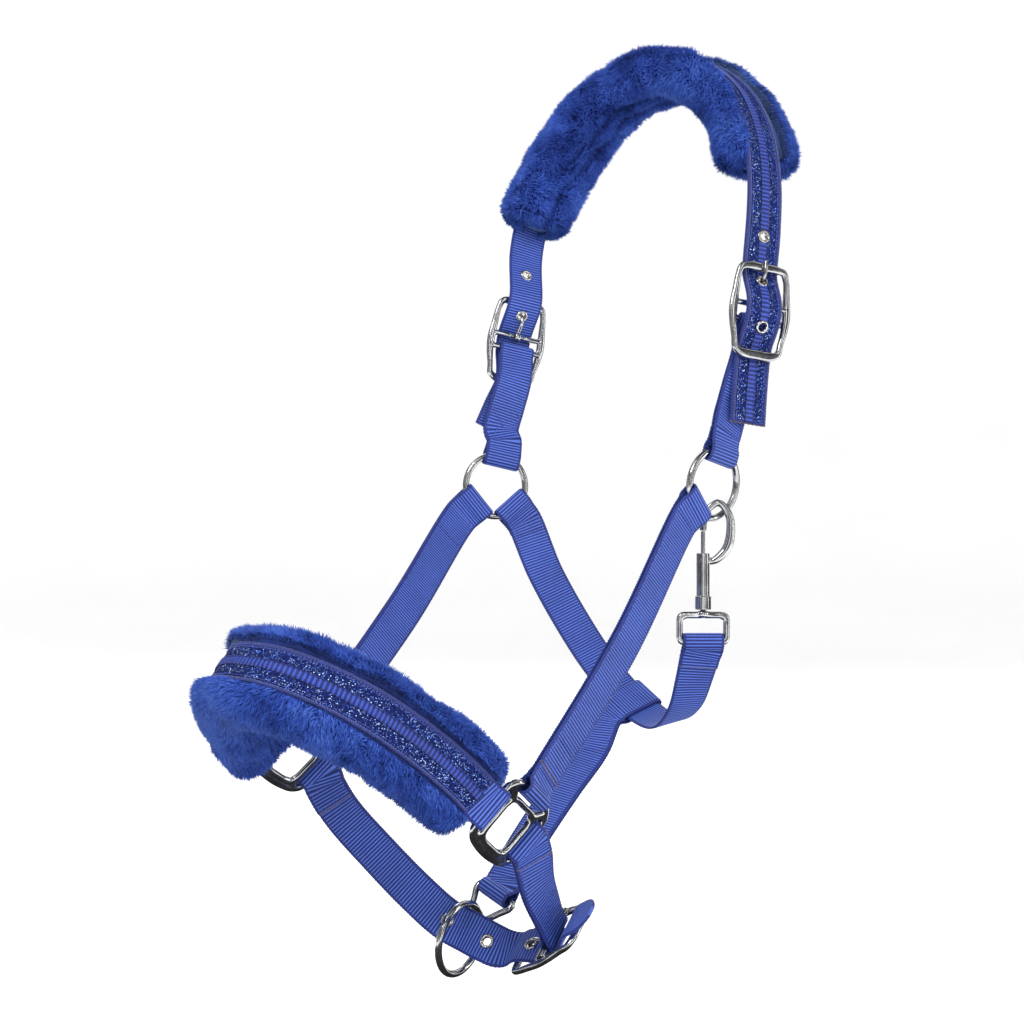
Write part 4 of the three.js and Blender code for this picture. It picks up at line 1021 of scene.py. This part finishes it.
def buckle(label, frame, eyelet_at):
    rim = mirrored([
        (24, 0, 0, 2.7, 1.9), (24, 0, 9.5, 2.6, 1.9), (22.6, 0, 14.8, 2.3, 1.9),
        (17.5, 0, 16.9, 1.9, 1.8), (8, 0, 17.9, 2.2, 1.8), (-4, 0, 18.8, 2.7, 1.8),
        (-13, 0, 18.2, 2.3, 1.8), (-22, 0, 16.4, 1.8, 1.8), (-28.4, 0, 15.0, 2.1, 1.8),
        (-31, 0, 10, 3.0, 1.8), (-31.3, 0, 0, 3.2, 1.8),
    ])
    neck = [(-17.5, 1.8), (-5.2, 1.8), (-4.2, 1.2), (4.2, 1.2), (5.2, 1.8), (17.5, 1.8)]
    pivot = [(0, 0, w, r, r) for w, r in neck]
    cross = [(BUCKLE.chape_bar, BUCKLE.chape_depth, w, 1.9, 1.9) for w in (-18.2, 0, 18.2)]
    bars = [bar(frame, rim, True), bar(frame, pivot, power=2), bar(frame, cross, power=2)]
    casting(f"{label}_buckle_frame", HEADSTALL, bars, 0.42, 4)
    offset = eyelet_at - frame.at
    s, n = offset.dot(frame.up), offset.dot(frame.out)
    shank = [
        (2.2, -0.6, 0, 1.3, 1.3), (s - 5, n - 3.2, 0, 1.25, 1.25), (s - 1.4, n - 2.3, 0, 1.2, 1.2),
        (s + 0.2, n + 0.2, 0, 1.2, 1.2), (s + 2.2, n + 3.2, 0, 1.2, 1.2), (21.5, 3.2, 0, 1.25, 1.2),
        (28, 2.95, 0, 1.1, 1.05),
    ]
    turned = SimpleNamespace(at=frame.at, up=frame.up, out=frame.side, side=frame.out)
    eighths = [k * math.pi / 4 for k in range(8)]
    collar = [(2.6 * math.cos(angle), 0, 2.6 * math.sin(angle), 0.95, 2.0) for angle in eighths]
    tongue = [bar(frame, shank, power=2), bar(turned, collar, True, power=3)]
    casting(f"{label}_buckle_tongue", f"{label}_tongue", tongue, 0.28, 3)


def square(name, frame):
    """A halter square: a round-cornered window, three slots with bowed rails and one thick bar."""
    window = mirrored([
        (13.4, 0, 0, 1.9, 2.1), (13.4, 0, 7.5, 1.9, 2.1), (11.8, 0, 11.8, 2.1, 2.1),
        (7.5, 0, 13.4, 1.9, 2.1), (-1, 0, 13.5, 1.9, 2.1), (-9.5, 0, 13.4, 2.1, 2.1),
        (-13.8, 0, 11.8, 2.4, 2.1), (-15.6, 0, 7, 2.4, 2.1), (-15.8, 0, 0, 2.4, 2.1),
    ])
    rails = mirrored([
        (22.3, 0, 0, 1.9, 2.1), (22.1, 0, 9, 1.9, 2.1), (20.9, 0, 15.5, 2.2, 2.1),
        (18.4, 0, 18.4, 2.6, 2.1), (15.5, 0, 20.9, 2.2, 2.1), (9, 0, 22.1, 1.9, 2.1),
        (0, 0, 22.3, 1.9, 2.1), (-9, 0, 21.9, 2.1, 2.1), (-14.2, 0, 20, 2.4, 2.1),
        (-17.2, 0, 15.8, 2.6, 2.2), (-18.6, 0, 8, 2.9, 2.3), (-19, 0, 0, 3.0, 2.3),
    ])
    bars = [bar(frame, window, True), bar(frame, rails, True)]
    for hand in (-1, 1):
        bars.append(bar(frame, [(12.3, 0, 12.3 * hand, 2.8, 2.1), (18.6, 0, 18.6 * hand, 2.8, 2.1)]))
        bars.append(bar(frame, [(-13, 0, 12.5 * hand, 3.2, 2.1), (-17.4, 0, 17 * hand, 3.2, 2.1)]))
    casting(name, HEADSTALL, bars, 0.5, 6)


def triangle():
    outline = mirrored([
        (0, 0, 0, 2.0, 2.0), (0, 0, 11.5, 2.0, 2.0), (0.9, 0, 15, 2.0, 2.0), (4.2, 0, 15.3, 2.0, 2.0),
        (10, 0, 11.6, 2.0, 2.0), (18, 0, 6.9, 2.0, 2.0), (23.3, 0, 3.7, 2.0, 2.0), (25.9, 0, 0, 2.0, 2.0),
    ])
    casting("triangle_ring", "triangle_ring", [bar(TRIANGLE_RING, outline, True, power=2.1)], 0.4, 3)


def snap():
    """The swivel snap: a hook with a tapering bow, its bolt and the strap eye under it."""
    front = np.array([SNAP_SIDE[1], -SNAP_SIDE[0], 0])
    frame = SimpleNamespace(
        at=np.array([*SNAP_AXIS, 0.0]), up=np.array([0, 0, 1.0]), out=front, side=SNAP_SIDE,
    )
    bow = [
        (-299, 0, 4.4, 1.7, 2.0), (-297, 0, 8.5, 2.6, 2.5), (-291, 0, 14.3, 3.0, 2.7),
        (-281.5, 0, 16.9, 2.8, 2.6), (-269.6, 0, 15.8, 2.4, 2.4), (-262.4, 0, 9.6, 2.2, 2.2),
        (-266.8, 0, 2.8, 2.15, 2.15), (-274.5, 0, 0.4, 2.1, 2.1), (-279.4, 0, 0, 1.9, 1.9),
    ]
    casting("snap_hook", "snap_hook", [bar(frame, bow, power=2.2)], 0.3, 3, keep=True)
    casting("snap_bolt", "snap_bolt", [], 0.24, 2, keep=True)
    eye = mirrored([
        (8.7, 0, 0, 1.8, 2.2), (8.5, 0, 5, 1.8, 2.1), (7.9, 0, 10, 1.8, 2.0),
        (6.4, 0, 13.6, 2.0, 2.0), (2.5, 0, 14.4, 1.7, 2.1), (-4, 0, 14.4, 1.7, 2.1),
        (-7.3, 0, 13.4, 1.9, 2.0), (-8.25, 0, 9.5, 1.9, 1.9), (-8.25, 0, 0, 1.9, 1.9),
    ])
    frame.at = np.array([*SNAP_AXIS, SNAP_EYE_MIDDLE])
    boss = [(6.6, 0, 0, 2.2, 2.2), (7.6, 0, 0, 3.4, 3.2), (9.4, 0, 0, 3.7, 3.4), (10.8, 0, 0, 2.9, 2.8)]
    casting("snap_eye", HEADSTALL, [bar(frame, eye, True), bar(frame, boss, power=2)], 0.34, 3, keep=True)


def ring(name, place):
    """A welded round ring, a little thicker where the weld was dressed, on the body of its own name."""
    sides, steps = 20, 120
    turn = np.arange(steps) * 2 * math.pi / steps
    x = unit(np.cross(place.axis, [0.2, 0.1, 0.97]))
    y = np.cross(place.axis, x)
    radial = np.cos(turn)[:, None] * x + np.sin(turn)[:, None] * y
    weld = WIRE_RADIUS + 0.1 * np.exp(-((turn - 4.2) / 0.09) ** 2)
    angle = np.arange(sides) * 2 * math.pi / sides
    verts = place.at + radial[:, None] * (RING_RADIUS + weld[:, None, None] * np.cos(angle)[None, :, None])
    verts = verts + place.axis * (weld[:, None, None] * np.sin(angle)[None, :, None])
    faces = grid_faces(steps, sides, True).tolist()
    obj = mesh_object(f"{name}_wire", verts.reshape(-1, 3), faces, CHROME)
    outward(obj)
    piece(obj, name, [name])


def make_hardware():
    ring("near_ring", NEAR_RING)
    ring("far_ring", FAR_RING)
    ring("lead_ring", LEAD_RING)
    triangle()
    buckle("near", NEAR_BUCKLE, NEAR_EYELETS[1][0])
    buckle("far", FAR_BUCKLE, FAR_EYELETS[1][0])
    buckle("chin", CHIN_BUCKLE, CHIN_EYELETS[2][0])
    square("near_square", NEAR_SQUARE)
    square("far_square", FAR_SQUARE)
    snap()
    NODES["snap_spring"].data.materials.clear()
    NODES["snap_spring"].data.materials.append(STEEL)


# ---- Fur pads ----
def waves(points, seed, size, count=7):
    """A smooth made-up vector field with features about `size` across."""
    source = np.random.default_rng(seed)
    total = np.zeros((len(points), 3))
    for _ in range(count):
        direction = unit(source.normal(size=3)) * 2 * math.pi / (size * source.uniform(0.7, 1.6))
        wave = np.sin(points @ direction + source.uniform(0, 6.28))
        total += wave[:, None] * unit(source.normal(size=3))
    return total / math.sqrt(count)


def pad_section(count, low, high, top, bottom):
    """The pad's core across the strap, as (w, f) points, with a channel where the strap lies."""
    middle, height = (top + bottom) / 2, (top - bottom) / 2
    turn = np.linspace(0, 2 * math.pi, count, endpoint=False)
    c, s = np.cos(turn), np.sin(turn)
    half = np.where(c < 0, -low, high)
    w = np.sign(c) * np.abs(c) ** (2 / PAD.squareness) * half
    f = middle + np.sign(s) * np.abs(s) ** (2 / PAD.squareness) * height
    return w, f, (np.abs(w) < PAD.channel) & (s > 0)


def pad(name, route, s0, s1, seed, shape, creases):
    """A stuffed core with lumps and sewn creases, and four strips of leaning, tapering tufts.

    `shape` gives the core's low and high edges and its top and bottom at each end of the pad.
    A crease has a place across, a depth, and the part of the pad's length that it runs through.
    """
    rows, columns = 170, 110
    s = np.linspace(s0, s1, rows)
    blend = (s - s0) / (s1 - s0)
    first, last = (pad_section(columns, *row) for row in shape)
    w = first[0] * (1 - blend[:, None]) + last[0] * blend[:, None]
    f = first[1] * (1 - blend[:, None]) + last[1] * blend[:, None]
    in_channel = first[2]
    middle = f.mean(axis=1, keepdims=True)
    end = np.minimum(s - s0, s1 - s) / 5.0
    taper = np.sqrt(1 - (1 - np.clip(end, 0.03, 1)) ** 2)[:, None]
    grid_w = w * (0.25 + 0.75 * taper)
    grid_f = middle + (0.3 + 0.7 * taper) * (f - middle)
    grid_f = np.where(in_channel[None], np.minimum(grid_f, -1.9), grid_f)
    fr = route.frames(s)
    points = fr.at[:, None] + fr.across[:, None] * grid_w[..., None]
    points = points + fr.face[:, None] * grid_f[..., None]
    centre = fr.at + fr.face * middle
    away = units((points - centre[:, None]).reshape(-1, 3))
    flat = points.reshape(-1, 3)
    lumps = 1.1 * waves(flat, seed, 38)[:, 0] + 0.6 * waves(flat, seed + 1, 18)[:, 0]
    dip = np.zeros((rows, columns))
    for place, depth, reach in creases:
        off = (w - place - 1.6 * np.sin(s / 21 + place)[:, None]) / 2.4
        fade = np.clip((blend - reach[0]) / 0.08, 0, 1) * np.clip((reach[1] - blend) / 0.08, 0, 1)
        dip += depth * np.exp(-off**2) * (f < middle) * fade[:, None]
    lumps = np.where(np.tile(in_channel, rows), 0, lumps - dip.ravel())
    flat = flat + away * lumps[:, None]
    faces = grid_faces(rows, columns, False)
    core = mesh_object(f"{name}_core", flat, faces.tolist() + end_caps(rows, columns), FUR)
    quad = flat[faces]
    normal = np.cross(quad[:, 2] - quad[:, 0], quad[:, 3] - quad[:, 1])
    area = np.linalg.norm(normal, axis=1)
    normal = units(normal)
    column, row = faces[:, 0] % columns, faces[:, 0] // columns
    normal *= np.sign(np.sum(normal * (quad.mean(axis=1) - centre[row]), axis=1, keepdims=True))
    # The core under the pile gets the root's painted shade.
    point_attribute(core, "tip", np.full(len(flat), 0.1))
    point_attribute(core, "shade", np.full(len(flat), 0.3))
    point_attribute(core, "guide", away)
    outward(core)
    piece(core, nodes=[name])

    smooth = np.zeros((len(flat), 3))
    for k in range(4):
        np.add.at(smooth, faces[:, k], normal)
    smooth = units(smooth)
    strips = (
        ("front_outer", (grid_w < 0) & (f > middle)),
        ("front_inner", (grid_w < 0) & (f <= middle)),
        ("back_outer", (grid_w >= 0) & (f > middle)),
        ("back_inner", (grid_w >= 0) & (f <= middle)),
    )
    for label, here in strips:
        weight = area * here[row, column] * ~in_channel[column]
        chosen = rng.choice(len(faces), TUFTS, p=weight / weight.sum())
        u, v = rng.random((2, TUFTS, 1))
        q = quad[chosen]
        root = (q[:, 0] * (1 - u) + q[:, 1] * u) * (1 - v) + (q[:, 3] * (1 - u) + q[:, 2] * u) * v
        guide = smooth[faces[chosen, 0]]
        # The crease depth under each tuft, used to paint shade into it.
        hollow = dip[row[chosen], column[chosen]]
        fur(f"{name}_fur_{label}", root, guide, fr.along[row[chosen]], hollow, seed)


def fur(name, root, normal, along, hollow, seed):
    """Pile: one bent, three-sided tuft at each root, leaning with its neighbours."""
    count = len(root)
    lean = 0.6 * waves(root, seed + 3, 30) + 0.35 * waves(root, seed + 4, 10)
    lean = lean + 0.22 * rng.normal(size=(count, 3))
    lean += along * 0.3 + np.array([0, 0, -0.45])
    lean -= normal * np.sum(lean * normal, axis=1, keepdims=True)
    uneven = 1 + 0.17 * rng.normal(size=(count, 1)) + 0.1 * waves(root, seed + 5, 9)[:, :1]
    length = PILE * uneven.clip(0.5, 1.4)
    start = root - normal * 0.6
    middle = start + length * 0.55 * units(normal + 0.4 * lean)
    tip = middle + length * 0.5 * units(normal * 0.6 + 1.05 * lean)
    thick = 0.46 * (1 + 0.2 * rng.normal(size=(count, 1))).clip(0.6, 1.5)
    x = units(np.cross(normal, rng.normal(size=(count, 3))))
    y = np.cross(normal, x)
    verts = np.empty((count, 7, 3))
    for k in range(3):
        a = 2 * math.pi * k / 3
        ring_at = math.cos(a) * x + math.sin(a) * y
        verts[:, k] = start + ring_at * thick
        verts[:, 3 + k] = middle + ring_at * thick * 0.85
    verts[:, 6] = tip
    triangles = np.array([
        (0, 1, 4), (0, 4, 3), (1, 2, 5), (1, 5, 4), (2, 0, 3), (2, 3, 5), (2, 1, 0),
        (3, 4, 6), (4, 5, 6), (5, 3, 6),
    ])
    faces = (np.arange(count)[:, None, None] * 7 + triangles).reshape(-1)
    mesh = bpy.data.meshes.new(name)
    mesh.vertices.add(count * 7)
    mesh.vertices.foreach_set("co", verts.ravel() * MM)
    mesh.loops.add(len(faces))
    mesh.loops.foreach_set("vertex_index", faces)
    mesh.polygons.add(len(faces) // 3)
    mesh.polygons.foreach_set("loop_start", np.arange(0, len(faces), 3))
    mesh.materials.append(FUR)
    mesh.update(calc_edges=True)
    obj = bpy.data.objects.new(name, mesh)
    bpy.context.scene.collection.objects.link(obj)
    # Tufts darken towards the root: painted shade deep in the pile.
    point_attribute(obj, "tip", np.tile([0.05, 0.05, 0.05, 0.62, 0.62, 0.62, 1.0], count))
    # Each tuft's random tone, lowered where it stands in a crease: painted shade.
    point_attribute(obj, "shade", np.repeat(rng.random(count) - 0.22 * hollow, 7))
    point_attribute(obj, "guide", np.repeat(normal, 7, axis=0))
    return piece(obj)


def make_pads():
    low, high = (np.interp(k, range(len(CROWN.station)), CROWN.station) for k in PAD_STATIONS)
    crown = ((-23, 20, 6.5, -24.5), (-21, 30, 4.0, -25.0))
    creases = ((-9.0, 4.5, (0.1, 0.72)), (3.0, 4.0, (-0.2, 0.6)), (10.0, 3.0, (0.6, 1.2)))
    pad("crown_pad", CROWN, low + 1, high - 1, 11, crown, creases)
    nose = ((-22.5, 26.5, 4.5, -27), (-23, 25, 4.5, -27))
    pad("nose_pad", NOSE, 6.5, NOSE.length - 12, 23, nose, ((0.0, 4.0, (-0.2, 1.2)),))


# ---- Camera, light and floor ----
def make_camera():
    data = bpy.data.cameras.new("camera")
    data.sensor_width, data.lens = 36, 59.77
    camera = bpy.data.objects.new("camera", data)
    camera.location = (0.6980, -0.9265, -0.2680)
    camera.rotation_euler = (math.radians(90), 0, math.radians(42))
    bpy.context.scene.collection.objects.link(camera)
    bpy.context.scene.camera = camera


def area_light(name, at, size, power):
    """A square soft light that faces the halter."""
    data = bpy.data.lights.new(name, "AREA")
    data.size, data.energy = size, power
    light = bpy.data.objects.new(name, data)
    light.location = at
    target = bpy.data.objects.new(name + "_aim", None)
    target.location = (0, -0.15, -0.25)
    bpy.context.scene.collection.objects.link(light)
    bpy.context.scene.collection.objects.link(target)
    aim = light.constraints.new("TRACK_TO")
    aim.target, aim.track_axis, aim.up_axis = target, "TRACK_NEGATIVE_Z", "UP_Y"


# The stage is in metres.
FLOOR = -0.62
CARDS = SimpleNamespace(count=9, first=12, half=14.5, radius=1.5, low=-0.6, high=1.5)


def make_floor():
    """A pale floor that curves up into a round wall."""
    profile = [
        (0.02, FLOOR), (0.8, FLOOR), (1.6, FLOOR), (2.6, FLOOR), (3.4, -0.5), (3.9, -0.1), (4.1, 0.6),
        (4.1, 5.0),
    ]
    sides = 64
    turn = np.arange(sides) * 2 * math.pi / sides
    rows = [np.stack([r * np.cos(turn), r * np.sin(turn), z + 0 * turn], axis=1) for r, z in profile]
    faces = grid_faces(len(rows), sides, False).tolist() + [list(range(sides))[::-1]]
    paper = Shader("paper", Roughness=0.9)
    shade = paper.noise(paper.position(), 3.0)
    paper.set(Base_Color=paper.ramp(shade, (0.3, grey(0.90)), (0.7, grey(0.92))))
    floor = mesh_object("floor", np.vstack(rows) / MM, faces, paper.material)
    outward(floor)
    floor.data.flip_normals()


def dark_card(name, corners, material):
    """A card that only shows in the metal."""
    card = mesh_object(name, np.array(corners) / MM, [[0, 1, 2, 3]], material)
    card.visible_camera = card.visible_diffuse = card.visible_shadow = False


def level_card(name, x, y0, y1, z, material):
    dark_card(name, [(-x, y0, z), (x, y0, z), (x, y1, z), (-x, y1, z)], material)


def make_cards():
    """Upright dark cards all round, one overhead and one just above the floor."""
    shader = Shader("dark_card", Roughness=0.8)
    shader.out.inputs["Base Color"].default_value = (0.01, 0.01, 0.012, 1)
    for k in range(CARDS.count):
        middle = 360 / CARDS.count * k + CARDS.first
        corners = []
        for turn, z in (
            (-CARDS.half, CARDS.low), (CARDS.half, CARDS.low), (CARDS.half, CARDS.high),
            (-CARDS.half, CARDS.high),
        ):
            angle = math.radians(middle + turn)
            corners.append((CARDS.radius * math.cos(angle), CARDS.radius * math.sin(angle), z))
        dark_card(f"dark_card_{k}", corners, shader.material)
    level_card("dark_card_roof", 0.9, -0.9, 0.9, CARDS.high, shader.material)
    level_card("dark_card_floor", 0.4, -0.6, 0.2, FLOOR + 0.005, shader.material)


def make_lights():
    area_light("key", (0.2, -1.9, 1.3), 0.9, 42)
    area_light("fill", (1.7, -0.9, 0.2), 1.2, 16)
    area_light("back", (-1.2, 1.4, 0.9), 1.2, 22)
    area_light("side", (1.9, 0.7, -0.1), 1.2, 16)
    world = bpy.data.worlds.new("world")
    world.use_nodes = True
    background = world.node_tree.nodes["Background"]
    background.inputs["Color"].default_value = (1, 1, 1, 1)
    background.inputs["Strength"].default_value = 1.0
    bpy.context.scene.world = world
    bpy.context.scene.view_settings.view_transform = "Standard"


make_camera()
make_floor()
make_cards()
make_lights()
make_straps()
make_trim()
make_sewing()
make_singed_ends()
make_eyelets()
make_hardware()
make_pads()
